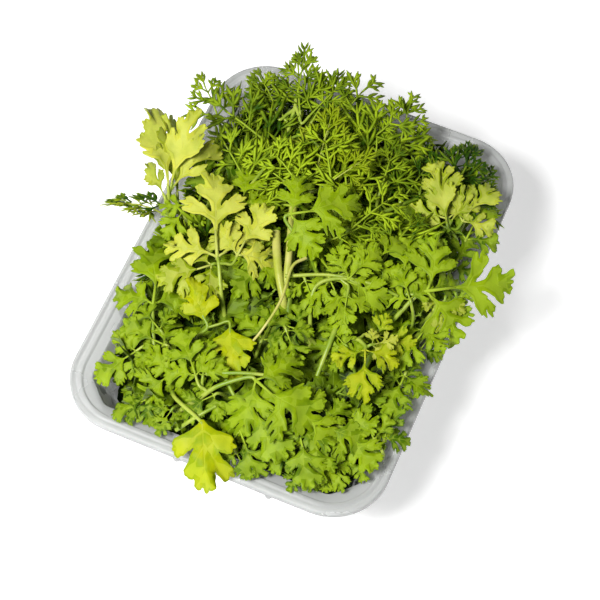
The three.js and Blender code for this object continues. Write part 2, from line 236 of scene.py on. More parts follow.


# %% [markdown]
# The group mixes in this order: the leaf's shade with soft mottling, a paler edge, the veins, the
# dull underside, and the stalk. The shade is partly the leaf's tone and partly painted shade. The veins
# also lie a little lower in the height that drives the bump.

# %% The leaf surface group
def make_leaf_surface():
    group = bpy.data.node_groups.new("leaf surface", "ShaderNodeTree")
    for name in ("Dark", "Light", "Stalk", "Tip"):
        group.interface.new_socket(name, in_out="INPUT", socket_type="NodeSocketColor")
    for name in ("Veins", "Mottle"):
        group.interface.new_socket(name, in_out="INPUT", socket_type="NodeSocketFloat")
    group.interface.new_socket("Color", in_out="OUTPUT", socket_type="NodeSocketColor")
    group.interface.new_socket("Roughness", in_out="OUTPUT", socket_type="NodeSocketFloat")
    group.interface.new_socket("Height", in_out="OUTPUT", socket_type="NodeSocketFloat")
    given = group.nodes.new("NodeGroupInput").outputs
    result = group.nodes.new("NodeGroupOutput")

    place = add_node(group, "ShaderNodeTexCoord").outputs["Object"]
    blade = add_node(group, "ShaderNodeUVMap", uv_map="blade").outputs["UV"]
    split = add_node(group, "ShaderNodeSeparateXYZ", {0: blade})
    outward, from_rib = split.outputs[0], split.outputs[1]
    shade = add_node(group, "ShaderNodeAttribute", attribute_name="shade").outputs["Fac"]
    stalk = add_node(group, "ShaderNodeAttribute", attribute_name="stalk").outputs["Fac"]
    under = add_node(group, "ShaderNodeAttribute", attribute_name="under").outputs["Fac"]

    vein = smooth_between(group, from_rib, 0.4, 1.5, 1.0, 0.0)
    on_blade = shader_math(group, "SUBTRACT", 1.0, stalk)
    vein = shader_math(group, "MULTIPLY", vein, on_blade)

    cloud = noise(group, place, 160.0, 3.0)
    cloud = smooth_between(group, cloud, 0.3, 0.7)
    cells = noise(group, place, 1500.0, 2.0)

    # The shade is the leaf's tone, and for the leaves deep in the pile also painted shade.
    patches = shader_math(group, "SUBTRACT", cloud, 0.5)
    body = shader_math(group, "MULTIPLY_ADD", patches, given["Mottle"], shade)
    colour = mix_colour(group, body, given["Dark"], given["Light"])
    edge = shader_math(group, "MULTIPLY", smooth_between(group, outward, 0.55, 1.0), 0.55)
    colour = mix_colour(group, edge, colour, given["Tip"])
    vein_share = shader_math(group, "MULTIPLY", vein, given["Veins"])
    colour = mix_colour(group, vein_share, colour, given["Stalk"])
    dull = add_node(group, "ShaderNodeHueSaturation", {"Saturation": 0.72, "Value": 1.06, "Color": colour})
    colour = mix_colour(group, under, colour, dull.outputs[0])
    colour = mix_colour(group, stalk, colour, given["Stalk"])
    group.links.new(colour, result.inputs["Color"])

    rough = shader_math(group, "MULTIPLY_ADD", cells, 0.16, 0.42)
    rough = shader_math(group, "MULTIPLY_ADD", under, 0.12, rough)
    group.links.new(rough, result.inputs["Roughness"])
    height = shader_math(group, "MULTIPLY_ADD", vein, -0.7, shader_math(group, "MULTIPLY", cells, 0.35))
    height = shader_math(group, "MULTIPLY_ADD", cloud, 0.5, height)
    group.links.new(height, result.inputs["Height"])
    return group


leaf_surface = make_leaf_surface()
print("leaf surface:", len(leaf_surface.nodes), "nodes")

# %% [markdown]
# ## Leaf colours
# The photograph has five kinds of green: the deep feathery tops, the fresh broad leaves, a few pale ones,
# the yellow ones at the near end, and the leaves down in the pile, whose darker end is painted shade.
# Each kind is a material of its own, which hands its colours to the leaf group. A thin leaf lets light
# through, so a little of the shader's subsurface scattering is added. It is the same all over, so it is
# set on the shader itself.

# %% Leaf materials
# Each kind: its dark and light shade, its stalk and its edge
LEAF_COLOURS = {
    "green_leaf": [(66, 98, 2), (140, 166, 8), (160, 184, 50), (138, 168, 16)],
    "pale_leaf": [(136, 156, 14), (200, 202, 70), (194, 202, 96), (184, 196, 46)],
    "yellow_leaf": [(132, 158, 6), (184, 188, 2), (190, 198, 50), (164, 176, 4)],
    "feather_leaf": [(44, 78, 2), (164, 190, 32), (164, 188, 52), (162, 186, 36)],
    # The dark end of the packed leaves is painted shade, for the leaves deep in the pile and for the heart.
    "packed_leaves": [(22, 42, 2), (130, 158, 12), (136, 164, 48), (118, 148, 14)],
}
THIN_GLOW = 0.12


def make_leaf_material(name):
    dark, light, stalk, tip = [(*srgb(*c), 1) for c in LEAF_COLOURS[name]]
    material, tree, shader = new_material(name)
    surface = add_node(tree, "ShaderNodeGroup", node_tree=leaf_surface)
    values = {"Dark": dark, "Light": light, "Stalk": stalk, "Tip": tip, "Veins": 0.45, "Mottle": 0.7}
    for key, value in values.items():
        surface.inputs[key].default_value = value
    tree.links.new(surface.outputs["Color"], shader.inputs["Base Color"])
    tree.links.new(surface.outputs["Roughness"], shader.inputs["Roughness"])
    bump_links = {"Height": surface.outputs["Height"], "Strength": 0.6, "Distance": 0.25 * MM}
    bump = add_node(tree, "ShaderNodeBump", bump_links)
    tree.links.new(bump.outputs[0], shader.inputs["Normal"])
    shader.inputs["Specular IOR Level"].default_value = 0.12
    shader.inputs["Subsurface Weight"].default_value = THIN_GLOW
    shader.inputs["Subsurface Radius"].default_value = (0.7, 1.0, 0.2)
    shader.inputs["Subsurface Scale"].default_value = 1.0 * MM
    return material


leaf_materials = {name: make_leaf_material(name) for name in LEAF_COLOURS}
print(len(leaf_materials), "leaf materials")

# %% [markdown]
# ## Meshes from arrays
# A leaf is drawn flat, one unit long, from the end of its stalk at (0, 0) to its end tooth at (1, 0).
# Then it is bent, turned and set in place. Drawing it as arrays of points lets one drawing serve many
# leaves. A drawing is a dictionary of the points, the faces and what the leaf finish reads.

# %% Drawings, and the objects made from them
FIELDS = ("outward", "vein", "stalk", "under")
FAR_FROM_RIB = 9.0


def joined(shapes):
    """One drawing made of several that have the same fields."""
    whole = {"points": np.vstack([shape["points"] for shape in shapes]), "faces": []}
    start = 0
    for shape in shapes:
        whole["faces"] += [tuple(i + start for i in face) for face in shape["faces"]]
        start += len(shape["points"])
    for field in set(shapes[0]) - {"points", "faces"}:
        whole[field] = np.concatenate([shape[field] for shape in shapes])
    return whole


def mesh_object(name, shape, material, scale=MM, hidden=False):
    """A mesh object from a shape in millimetres, with its UV map and its attributes."""
    mesh = bpy.data.meshes.new(name)
    mesh.from_pydata((shape["points"] * scale).tolist(), [], shape["faces"])
    corners = np.zeros(len(mesh.loops), dtype=np.int32)
    mesh.loops.foreach_get("vertex_index", corners)
    layer = mesh.uv_layers.new(name="blade")
    pairs = np.column_stack([shape["outward"][corners], shape["vein"][corners]])
    layer.data.foreach_set("uv", pairs.astype(np.float32).ravel())
    for field in sorted(set(shape) - {"points", "faces", "outward", "vein"}):
        values = mesh.attributes.new(field, "FLOAT", "POINT")
        values.data.foreach_set("value", shape[field].astype(np.float32))
    mesh.materials.append(material)
    mesh.shade_smooth()
    mesh.update()
    made = bpy.data.objects.new(name, mesh)
    if not hidden:
        bpy.context.collection.objects.link(made)
    return made


def plain_object(name, points, edges=(), faces=()):
    """An object without a finish, from points in millimetres."""
    mesh = bpy.data.meshes.new(name)
    mesh.from_pydata((np.array(points) * MM).tolist(), edges, faces)
    made = bpy.data.objects.new(name, mesh)
    bpy.context.collection.objects.link(made)
    return made


def triangle_count(piece):
    return sum(len(face.vertices) - 2 for face in piece.data.polygons)


# %% [markdown]
# Stalks, ribs and the segments of a feathery leaf are all tapered tubes. Some are pressed flat.

# %% A tapered tube
def tube(path, radii, sides=5, flat=1.0, stalk=1.0):
    """A closed tube along a path. flat below 1 makes it a strip that lies in the plane of the leaf."""
    path = np.asarray(path, dtype=float)
    rows = len(path)
    along = np.gradient(path, axis=0)
    along /= np.linalg.norm(along, axis=1)[:, None]
    side = np.cross((0.0, 0.0, 1.0), along)
    lengths = np.linalg.norm(side, axis=1)
    side[lengths < 1e-3] = (0.0, 1.0, 0.0)
    side /= np.linalg.norm(side, axis=1)[:, None]
    top = np.cross(along, side)
    turns = 2 * np.pi * np.arange(sides) / sides
    radii = np.asarray(radii, dtype=float)[:, None, None]
    level, upright = np.cos(turns)[None, :, None], flat * np.sin(turns)[None, :, None]
    ring = level * side[:, None, :] + upright * top[:, None, :]
    points = (path[:, None, :] + radii * ring).reshape(-1, 3)
    faces = []
    for row in range(rows - 1):
        for k in range(sides):
            a, b = row * sides + k, row * sides + (k + 1) % sides
            faces.append((a, b, b + sides, a + sides))
    faces.append(tuple(reversed(range(sides))))
    faces.append(tuple(range((rows - 1) * sides, rows * sides)))
    count = len(points)
    fields = {field: np.zeros(count) for field in FIELDS}
    fields["stalk"] = np.full(count, stalk)
    fields["outward"] = np.repeat(np.linspace(0, 1, rows), sides)
    fields["vein"] = np.full(count, FAR_FROM_RIB)
    return {"points": points, "faces": faces, **fields}


# %% [markdown]
# A blade is a thin body with two faces and a rim between them. The lower face is marked, so that the
# finish can make it duller.

# %% A sheet given its thickness
def thickened(sheet, thickness):
    points, faces = sheet["points"], sheet["faces"]
    normals = np.zeros_like(points)
    uses = {}
    for face in faces:
        a, b, c = points[face[0]], points[face[1]], points[face[2]]
        normals[list(face)] += np.cross(b - a, c - a)
        for i, j in zip(face, face[1:] + face[:1]):
            uses[(i, j)] = uses.get((i, j), 0) + 1
    normals /= np.maximum(np.linalg.norm(normals, axis=1), 1e-12)[:, None]
    count = len(points)
    below = [tuple(i + count for i in reversed(face)) for face in faces]
    rim = [(j, i, i + count, j + count) for i, j in uses if (j, i) not in uses]
    thick = {"points": np.vstack([points + normals * thickness / 2, points - normals * thickness / 2])}
    thick["faces"] = faces + below + rim
    for field in FIELDS:
        thick[field] = np.concatenate([sheet[field], sheet[field]])
    thick["under"] = np.concatenate([np.zeros(count), np.ones(count)])
    return thick


# %% [markdown]
# ## A toothed leaflet
# A leaf grows along its ribs. A middle rib sends out lobes on both sides, and each lobe sends out teeth.
# The green blade is what lies near enough to a rib, and where two ribs are close their blades run
# together. So the ribs are drawn first, by a rule with seeded random draws, and the outline is found
# round them. Where the blade is wide this gives a broad leaf, and where it is narrow a cut one.

# %% The ribs of a leaflet
# webs: how far the blade reaches from the middle rib, a lobe's rib and a tooth's rib, at the root,
# halfway and at the tip. lobes: share along the middle rib, heading, length and pairs of teeth.
BLADE_FORMS = {
    "broad": {
        "webs": ((0.02, 0.12, 0.026), (0.075, 0.083, 0.024), (0.045, 0.034, 0.016)), "sweep": 6, "fork": 36,
        "lobes": [(0.15, 52, 0.56, 3), (0.43, 37, 0.48, 2), (0.72, 28, 0.26, 1)],
    },
    "lobed": {
        "webs": ((0.015, 0.07, 0.024), (0.05, 0.056, 0.022), (0.036, 0.031, 0.016)), "sweep": 8, "fork": 33,
        "lobes": [(0.22, 46, 0.54, 3), (0.48, 34, 0.42, 2), (0.73, 26, 0.24, 1)],
    },
    "fan": {
        "webs": ((0.05, 0.18, 0.04), (0.1, 0.11, 0.036), (0.06, 0.044, 0.028)), "sweep": 4, "fork": 34,
        "lobes": [(0.1, 56, 0.52, 3), (0.34, 34, 0.54, 2), (0.68, 28, 0.28, 1)],
    },
}
MIDDLE_LENGTH = 0.93
TOOTH_GAP = 0.23
INNER_TOOTH = 0.72


def grow_rib(ribs, start, heading, length, webs, lobe, level, bend):
    """Adds one rib, a bent line of two stretches, and returns its three points."""
    route = [np.array(start, dtype=float)]
    for part in (-0.5, 0.5):
        turn = math.radians(heading + bend * part)
        route.append(route[-1] + length / 2 * np.array((math.cos(turn), math.sin(turn))))
    ribs.append((*route[0], *route[1], webs[0], webs[1], lobe, level))
    ribs.append((*route[1], *route[2], webs[1], webs[2], lobe, level))
    return route


def part_way(route, share):
    place = min(share, 0.999) * 2
    k = int(place)
    return route[k] + (route[k + 1] - route[k]) * (place - k)


def leaflet_ribs(form, draw):
    """Ribs as rows of two ends, two reaches of the blade, lobe and level: 0 middle, 1 lobe, 2 tooth."""
    ribs = []
    blade, lobe_web, tooth_web = form["webs"]
    middle = grow_rib(ribs, (0, 0), draw.uniform(-3, 3), MIDDLE_LENGTH, blade, 0, 0, draw.uniform(-14, 14))
    lobe = 0
    for share, heading, length, teeth in form["lobes"]:
        for side in (-1, 1):
            lobe += 1
            root = part_way(middle, share + draw.uniform(-0.03, 0.03))
            aim = side * heading + draw.uniform(-5, 5)
            reach = length * draw.uniform(0.84, 1.12)
            webs = lobe_web if teeth else tooth_web
            route = grow_rib(ribs, root, aim, reach, webs, lobe, 1, -side * form["sweep"])
            for number in range(teeth):
                for way in (-1, 1):
                    inner = INNER_TOOTH if way == -side else 1.0
                    left = teeth - number
                    at = 1 - TOOTH_GAP * left + draw.uniform(-0.05, 0.05)
                    tooth = reach * (0.2 + 0.12 * left) * inner * draw.uniform(0.85, 1.15)
                    fork = form["fork"] + draw.uniform(-5, 5)
                    swing = aim - side * form["sweep"] * 0.3 + way * inner * fork
                    grow_rib(ribs, part_way(route, at), swing, tooth, tooth_web, lobe, 2, -way * 14)
    return np.array(ribs)


# %% [markdown]
# The edge of the blade is where a smooth sum over all its ribs passes zero. It is followed through the
# cells of a grid, and the points that a straight line can spare are left out.

# %% The outline of the blade
BLEND = 110.0


def rib_distances(points, ribs):
    """The distance of each point from each rib, and from the edge of that rib's own blade."""
    start, end = ribs[:, 0:2], ribs[:, 2:4]
    run = end - start
    offset = points[:, None, :] - start
    share = np.clip((offset * run).sum(axis=2) / (run * run).sum(axis=1), 0, 1)
    length = np.linalg.norm(offset - share[..., None] * run, axis=2)
    return length, length - (ribs[:, 4] + (ribs[:, 5] - ribs[:, 4]) * share)


def past_edge(points, ribs):
    """How far each point is outside the whole blade. Blades that meet run smoothly together."""
    past = np.clip(rib_distances(points, ribs)[1], -0.5, 0.5)
    return -np.log(np.exp(-BLEND * past).sum(axis=1)) / BLEND


def outline(ribs, cell):
    """The outer edge of a blade, followed through the cells of a square grid."""
    xs = np.arange(-0.15, 1.15, cell)
    ys = np.arange(-0.85, 0.85, cell)
    grid = np.array([(x, y) for x in xs for y in ys])
    value = past_edge(grid, ribs)
    inside = value < 0
    columns = len(ys)
    following = {}
    for i in range(len(xs) - 1):
        for j in range(columns - 1):
            a = i * columns + j
            ring = (a, a + columns, a + columns + 1, a + 1)
            crossings = []
            for k, n in zip(ring, ring[1:] + ring[:1]):
                if inside[k] != inside[n]:
                    crossings.append(((min(k, n), max(k, n)), inside[k]))
            if crossings and not crossings[0][1]:
                crossings = crossings[1:] + crossings[:1]
            for leaving, entering in zip(crossings[0::2], crossings[1::2]):
                following[leaving[0]] = entering[0]
    loops = []
    while following:
        key, loop = next(iter(following)), []
        while key in following:
            a, b = key
            loop.append(grid[a] + (grid[b] - grid[a]) * value[a] / (value[a] - value[b]))
            key = following.pop(key)
        loops.append(np.array(loop))
    return max(loops, key=len)


def thinned(loop, tolerance):
    """A loop without the points that lie nearly on the line between their neighbours."""
    longest = 0.16
    kept = [0]
    for k in range(2, len(loop) + 1):
        a, b = loop[kept[-1]], loop[k % len(loop)]
        between = loop[kept[-1] + 1:k] - a
        run = b - a
        size = max(np.linalg.norm(run), 1e-9)
        off = np.abs(between[:, 0] * run[1] - between[:, 1] * run[0]) / size
        if off.max() > tolerance or size > longest:
            kept.append(k - 1)
    return loop[kept]


# %% [markdown]
# Triangles fill the outline. The ribs run along their edges, so the blade can rise and fold at its ribs.

# %% The sheet of triangles inside the outline
def blade_sheet(ribs, cell, tolerance, filling, levels):
    """Flat points and triangles. The ribs down to the given level run along edges of the triangles."""
    points = thinned(outline(ribs, cell), tolerance).tolist()
    count = len(points)
    edges = [(k, (k + 1) % count) for k in range(count)]
    for x0, y0, x1, y1, *_, level in ribs:
        if level > levels:
            continue
        count = max(1, round(math.hypot(x1 - x0, y1 - y0) / filling))
        first = len(points)
        points += [(x0 + (x1 - x0) * k / count, y0 + (y1 - y0) * k / count) for k in range(count + 1)]
        edges += [(first + k, first + k + 1) for k in range(count)]
    grid = np.array([(x, y) for x in np.arange(0, 1, filling) for y in np.arange(-0.8, 0.8, filling)])
    clear = (past_edge(grid, ribs) < -0.03) & (rib_distances(grid, ribs)[0].min(axis=1) > 0.03)
    points += grid[clear].tolist()
    found = delaunay_2d_cdt([Vector(p) for p in points], edges, [], 1, 1e-4)
    flat = np.array([tuple(p) for p in found[0]])
    return flat, [tuple(face) for face in found[2]]


VEIN_WIDTHS = np.array((0.011, 0.008, 0.005))


def leaflet(root, aim, size, form, detail, seed, rib):
    """A leaflet as an open sheet that is lifted and curled lobe by lobe, and its raised ribs."""
    draw = random.Random(seed)
    ribs = leaflet_ribs(BLADE_FORMS[form], draw)
    flat, faces = blade_sheet(ribs, **detail)
    lobes = ribs[:, 6].astype(int)
    lifts = np.array([draw.uniform(-0.3, 0.3) for _ in range(lobes.max() + 1)])
    curls = np.array([draw.uniform(-0.4, 0.12) for _ in range(lobes.max() + 1)])
    pitch, tilt, wave = draw.uniform(-0.4, 0.2), draw.uniform(-0.35, 0.35), draw.uniform(0, 6)
    turn = math.radians(aim)

    def lifted(spots):
        length = rib_distances(spots, ribs)[0]
        near = np.stack([length[:, lobes == lobe].min(axis=1) for lobe in range(len(lifts))], axis=1)
        share = np.exp(-16 * near)
        share /= share.sum(axis=1)[:, None]
        x, y = spots[:, 0], spots[:, 1]
        far = np.hypot(x, y)
        z = far ** 2 * (share @ lifts) + far ** 4 * (share @ curls) + pitch * x * x + tilt * x * y
        z += 0.4 * np.minimum(length.min(axis=1), 0.1) + 0.016 * np.sin(9 * x + wave) * np.sin(11 * y + wave)
        return np.column_stack([
            root[0] + size * (x * math.cos(turn) - y * math.sin(turn)),
            root[1] + size * (x * math.sin(turn) + y * math.cos(turn)),
            size * z,
        ])

    drawn = ribs[ribs[:, 7] <= detail["levels"]]
    widths = VEIN_WIDTHS[drawn[:, 7].astype(int)]
    sheet = {"points": lifted(flat), "faces": faces, "outward": np.hypot(flat[:, 0], flat[:, 1])}
    sheet["vein"] = (rib_distances(flat, drawn)[0] / widths).min(axis=1)
    sheet.update({"stalk": np.zeros(len(flat)), "under": np.zeros(len(flat))})
    raised = []
    for first, second in zip(ribs[0::2], ribs[1::2]) if rib else ():
        if first[7] < 2:
            spots = np.array((first[0:2], (first[0:2] + first[2:4]) / 2, second[0:2], second[2:4]))
            thick = rib * (1 if first[7] == 0 else 0.6)
            radii = [thick, thick * 0.8, thick * 0.6, thick * 0.2]
            raised.append(tube(lifted(spots), radii, sides=4, stalk=0.6))
    return sheet, raised


# %% [markdown]
# ## Whole leaves
# A broad leaf has three leaflets on one stalk: two at the sides, and a larger one at the end. The narrow
# leaves have the same plan with deeper cuts. Some leaflets are set alone, as a leaf of one piece.

# %% Three leaflets on one stalk, and a single leaflet
LEAF_THICKNESS = 0.01
RIB_THICKNESS = 0.009
FINE = {"cell": 0.02, "tolerance": 0.0035, "filling": 0.11, "levels": 2}
PLAIN = {"cell": 0.034, "tolerance": 0.009, "filling": 0.2, "levels": 1}


def leaf_of(leaflets, stalks, detail, seed, rib):
    sheets, solids = [], []
    for number, plan in enumerate(leaflets):
        sheet, ribs = leaflet(**plan, detail=detail, seed=seed * 7 + number, rib=rib)
        sheets.append(sheet)
        solids += ribs
    for path, start, end in stalks:
        solids.append(tube(path, np.linspace(start, end, len(path)), sides=5))
    return joined([thickened(joined(sheets), LEAF_THICKNESS)] + solids)


def three_leaflets(form, detail, seed, rib=RIB_THICKNESS):
    draw = random.Random(seed)
    lean = draw.uniform(-8, 8)
    leaflets = [
        {"root": (0.05, -0.07), "aim": -68 + lean, "size": 0.6 * draw.uniform(0.9, 1.1), "form": form},
        {"root": (0.28, 0), "aim": lean / 2, "size": 0.76, "form": form},
        {"root": (0.05, 0.07), "aim": 68 + lean, "size": 0.6 * draw.uniform(0.9, 1.1), "form": form},
    ]
    stalks = [
        ([(-0.03, 0, 0), (0.12, 0, 0), (0.32, 0, 0)], 0.024, 0.016),
        ([(0, 0, 0), (0.03, -0.04, 0), (0.06, -0.11, 0)], 0.018, 0.014),
        ([(0, 0, 0), (0.03, 0.04, 0), (0.06, 0.11, 0)], 0.018, 0.014),
    ]
    return leaf_of(leaflets, stalks, detail, seed, rib)


def one_leaflet(form, detail, seed, rib=RIB_THICKNESS):
    leaflets = [{"root": (0, 0), "aim": 0, "size": 1.06, "form": form}]
    stalks = [([(-0.03, 0, 0), (0.03, 0, 0), (0.1, 0, 0)], 0.024, 0.018)]
    return leaf_of(leaflets, stalks, detail, seed, rib)


def narrowed(drawing, share):
    """A drawing whose points are drawn in towards its axis."""
    drawing["points"][:, 1] *= share
    return drawing


# %% [markdown]
# A feathery leaf is cut to its ribs. Its side ribs carry thin pointed segments in pairs, and about half
# of the segments have a prong of their own. The widths below are shares, from root to tip.

# %% The feathery leaf
RIB_TAPER = (0.6, 0.65, 0.9, 0.25)
SEGMENT_TAPER = (0.6, 1, 0.95, 0.2)
PRONG_TAPER = (0.6, 1, 0.9, 0.2)
PRONG_CHANCE = 0.55


def ribbon(start, heading, curve, rise, length, width, taper, sides):
    """The route and the drawing of a thin curved segment."""
    route = [np.array(start, dtype=float)]
    for k in range(3):
        turn = math.radians(heading + curve * k / 2)
        route.append(route[-1] + np.array([math.cos(turn), math.sin(turn), rise]) * length / 3)
    radii = [width * share for share in taper]
    return np.array(route), tube(route, radii, sides=sides, flat=0.45, stalk=0.0)


def side_rib(start, heading, rise, length, width, draw, pieces, sides):
    """A side rib with two pairs of thin segments, some of which have a prong of their own."""
    curve = draw.uniform(-16, 16)
    route, rib = ribbon(start, heading, curve, rise, length, width, RIB_TAPER, sides)
    pieces.append(rib)
    for at, share in ((0.4, 0.66), (0.72, 0.52)):
        root = [np.interp(at * 3, range(4), route[:, k]) for k in range(3)]
        for side in (-1, 1):
            swing = heading + curve * at + side * draw.uniform(24, 40)
            reach = length * share * draw.uniform(0.75, 1.25)
            up = rise + draw.uniform(-0.15, 0.15)
            bend = -side * draw.uniform(4, 22)
            branch, segment = ribbon(root, swing, bend, up, reach, width, SEGMENT_TAPER, sides)
            pieces.append(segment)
            if draw.random() < PRONG_CHANCE:
                prong_heading = swing + side * draw.uniform(25, 40)
                prong = ribbon(branch[1], prong_heading, bend, up, reach * 0.6, width, PRONG_TAPER, sides)
                pieces.append(prong[1])


def feather_leaf(pairs, seed, width=0.023, sides=4):
    draw = random.Random(seed)
    pieces = []
    bow = draw.uniform(-0.06, 0.06)
    middle = [(-0.03, 0, 0), (0.2, bow, 0.01), (0.45, bow, 0), (0.7, 0, -0.02)]
    pieces.append(tube(middle, [0.019, 0.016, 0.013, 0.011], sides=sides, stalk=0.7))
    for i in range(pairs):
        share = i / (pairs - 1)
        at = 0.12 + 0.46 * share
        for side in (-1, 1):
            heading = side * (58 - 16 * share) + draw.uniform(-9, 9)
            length = (0.5 - 0.2 * share) * draw.uniform(0.85, 1.15)
            root = (at + draw.uniform(-0.025, 0.025), bow * math.sin(math.pi * at / 0.7), 0)
            side_rib(root, heading, draw.uniform(-0.22, 0.25), length, width, draw, pieces, sides)
    side_rib(middle[-1], draw.uniform(-8, 8), 0, 0.3, width, draw, pieces, sides)
    return joined(pieces)


# %% [markdown]
# Each kind of leaf is drawn a few times with different seeds, so that neighbours differ.

# %% The drawings, by kind
DRAWINGS = {
    "broad": [three_leaflets("broad", FINE, seed) for seed in (1, 2, 3)],
    "lobed": [three_leaflets("lobed", FINE, seed) for seed in (4, 5, 6)],
    "fan": [narrowed(one_leaflet("fan", FINE, seed), 0.84) for seed in (7, 8)],
    "narrow": [narrowed(one_leaflet("lobed", FINE, seed), 0.52) for seed in (14, 15, 16)],
    "frond": [narrowed(feather_leaf(3, seed, width=0.036), 0.42) for seed in (17, 18)],
    "feather": [feather_leaf(3, seed) for seed in (10, 11, 12, 13)],
}
for kind, drawings in DRAWINGS.items():
    print(kind, [len(drawing["faces"]) for drawing in drawings], "faces")

# %% [markdown]
# ## Setting a leaf in place
# A blade is bent along its length and across it, then turned so that its axis runs from base to tip and
# its face looks towards the light, as a living leaf does. The stalk and the raised ribs follow the bend,
# because every point of the drawing is moved by the same formula.

# %% Bend, turn and place one leaf
TOWARDS_LIGHT = np.array((0.35, 0.1, 1.0)) / np.linalg.norm((0.35, 0.1, 1.0))


def turned(vector, axis, angle):
    """A vector turned about an axis, by Rodrigues' formula."""
    c, s = math.cos(angle), math.sin(angle)
    return vector * c + np.cross(axis, vector) * s + axis * np.dot(axis, vector) * (1 - c)


def placed_leaf(kind, base, tip, roll, number, shade):
    drawing = DRAWINGS[kind][number % len(DRAWINGS[kind])]
    draw = random.Random(number * 31 + len(kind))
    droop, cup, twist = draw.uniform(0.06, 0.26), draw.uniform(-0.02, 0.22), draw.uniform(-0.35, 0.35)
    base, tip = np.array(base, dtype=float), np.array(tip, dtype=float)
    axis = tip - base
    size = np.linalg.norm(axis)
    axis /= size
    across = np.cross(TOWARDS_LIGHT, axis)
    across = turned(across / np.linalg.norm(across), axis, math.radians(roll))
    normal = np.cross(axis, across)
    u = np.maximum(drawing["points"][:, 0], 0)
    v = drawing["points"][:, 1]
    lift = drawing["points"][:, 2] + droop * u * (1 - u) * 2 - cup * v * v * 2 + twist * u * v
    placed = dict(drawing)
    flat = drawing["points"]
    placed["points"] = base + size * (flat[:, :1] * axis + flat[:, 1:2] * across + lift[:, None] * normal)
    placed["shade"] = np.full(len(flat), shade)
    return placed


# %% [markdown]
# ## Stems
# A stem is a soft green rod, thicker at its root, with fine ridges along it. Its route is a smooth curve
# through a few points. Geometry Nodes sweep a round section along the route: the tree reads the radius
# that each point of the route carries, so one tree makes every stem and every leaf stalk.

# %% The stem finish
def make_stem_material(name, pale, green):
    material, tree, shader = new_material(name)
    place = add_node(tree, "ShaderNodeTexCoord").outputs["Object"]
    share = smooth_between(tree, noise(tree, place, 90.0, 3.0), 0.35, 0.68)
    body = mix_colour(tree, share, (*srgb(*pale), 1), (*srgb(*green), 1))
    tree.links.new(body, shader.inputs["Base Color"])
    streak_map = add_node(tree, "ShaderNodeMapping", {"Vector": place, "Scale": (0.12, 1.0, 1.0)})
    streaks = noise(tree, streak_map.outputs[0], 2600.0, 1.0)
    bump = add_node(tree, "ShaderNodeBump", {"Height": streaks, "Strength": 0.35, "Distance": 0.2 * MM})
    tree.links.new(bump.outputs[0], shader.inputs["Normal"])
    shader.inputs["Roughness"].default_value = 0.4
    shader.inputs["Subsurface Weight"].default_value = 0.15
    shader.inputs["Subsurface Radius"].default_value = (0.8, 1.0, 0.3)
    shader.inputs["Subsurface Scale"].default_value = 1.2 * MM
    return material


stem_material = make_stem_material("stem_green", (176, 192, 74), (126, 158, 30))
pale_stem_material = make_stem_material("stem_pale", (208, 202, 116), (176, 186, 62))
print("finishes:", stem_material.name, "and", pale_stem_material.name)

# %% [markdown]
# The tree makes a curve of a chain of edges and sweeps a round section along it, as wide at each point
# as the radius that the point carries.

# %% The tree that sweeps a stem
STEM_SIDES = 9


def make_stem_tree():
    tree = bpy.data.node_groups.new("sweep stems", "GeometryNodeTree")
    tree.interface.new_socket("Geometry", in_out="INPUT", socket_type="NodeSocketGeometry")
    tree.interface.new_socket("Sides", in_out="INPUT", socket_type="NodeSocketInt")
    tree.interface.new_socket("Material", in_out="INPUT", socket_type="NodeSocketMaterial")
    tree.interface.new_socket("Geometry", in_out="OUTPUT", socket_type="NodeSocketGeometry")
    given = tree.nodes.new("NodeGroupInput").outputs
    result = tree.nodes.new("NodeGroupOutput")
    route = add_node(tree, "GeometryNodeMeshToCurve", {"Mesh": given["Geometry"]}).outputs[0]
    radius = add_node(tree, "GeometryNodeInputNamedAttribute", {"Name": "radius_m"}, data_type="FLOAT")
    section_links = {"Resolution": given["Sides"], "Radius": 1.0}
    section = add_node(tree, "GeometryNodeCurvePrimitiveCircle", section_links)
    sweep_links = {"Curve": route, "Profile Curve": section.outputs[0], "Fill Caps": True}
    sweep_links["Scale"] = radius.outputs[0]
    sweep = add_node(tree, "GeometryNodeCurveToMesh", sweep_links).outputs[0]
    smooth = add_node(tree, "GeometryNodeSetShadeSmooth", {"Geometry": sweep}).outputs[0]
    solid = add_node(tree, "GeometryNodeRealizeInstances", {"Geometry": smooth}).outputs[0]
    final = add_node(tree, "GeometryNodeSetMaterial", {"Geometry": solid, "Material": given["Material"]})
    tree.links.new(final.outputs[0], result.inputs[0])
    return tree


stem_tree = make_stem_tree()
print("stem tree:", len(stem_tree.nodes), "nodes")


def socket_id(tree, name):
    """The identifier of an input of a tree, which is how a modifier knows it."""
    items = tree.interface.items_tree
    return next(item.identifier for item in items if item.name == name and item.in_out == "INPUT")


def applied(source, tree, name, inputs):
    """The plain mesh object that a Geometry Nodes tree makes of a source object."""
    modifier = source.modifiers.new("nodes", "NODES")
    modifier.node_group = tree
    for key, value in inputs.items():
        modifier[socket_id(tree, key)] = value
    bpy.context.view_layer.update()
    graph = bpy.context.evaluated_depsgraph_get()
    mesh = bpy.data.meshes.new_from_object(source.evaluated_get(graph), depsgraph=graph)
    mesh.name = name
    made = bpy.data.objects.new(name, mesh)
    bpy.context.collection.objects.link(made)
    bpy.data.objects.remove(source)
    return made


# %% [markdown]
# Only a few points of a route are chosen. A smooth curve runs through them, and many routes become one
# mesh.

# %% Smooth routes, and the stems made from them
def smooth_route(points, steps=6):
    """Points along a curve through the given ones (Catmull-Rom)."""
    points = [np.array(p, dtype=float) for p in points]
    ends = [2 * points[0] - points[1], *points, 2 * points[-1] - points[-2]]
    route = []
    for a, b, c, d in zip(ends, ends[1:], ends[2:], ends[3:]):
        for k in range(steps):
            t = k / steps
            route.append(0.5 * (
                2 * b + (c - a) * t + (2 * a - 5 * b + 4 * c - d) * t ** 2 + (3 * b - a - 3 * c + d) * t ** 3
            ))
    route.append(points[-1])
    return np.array(route)


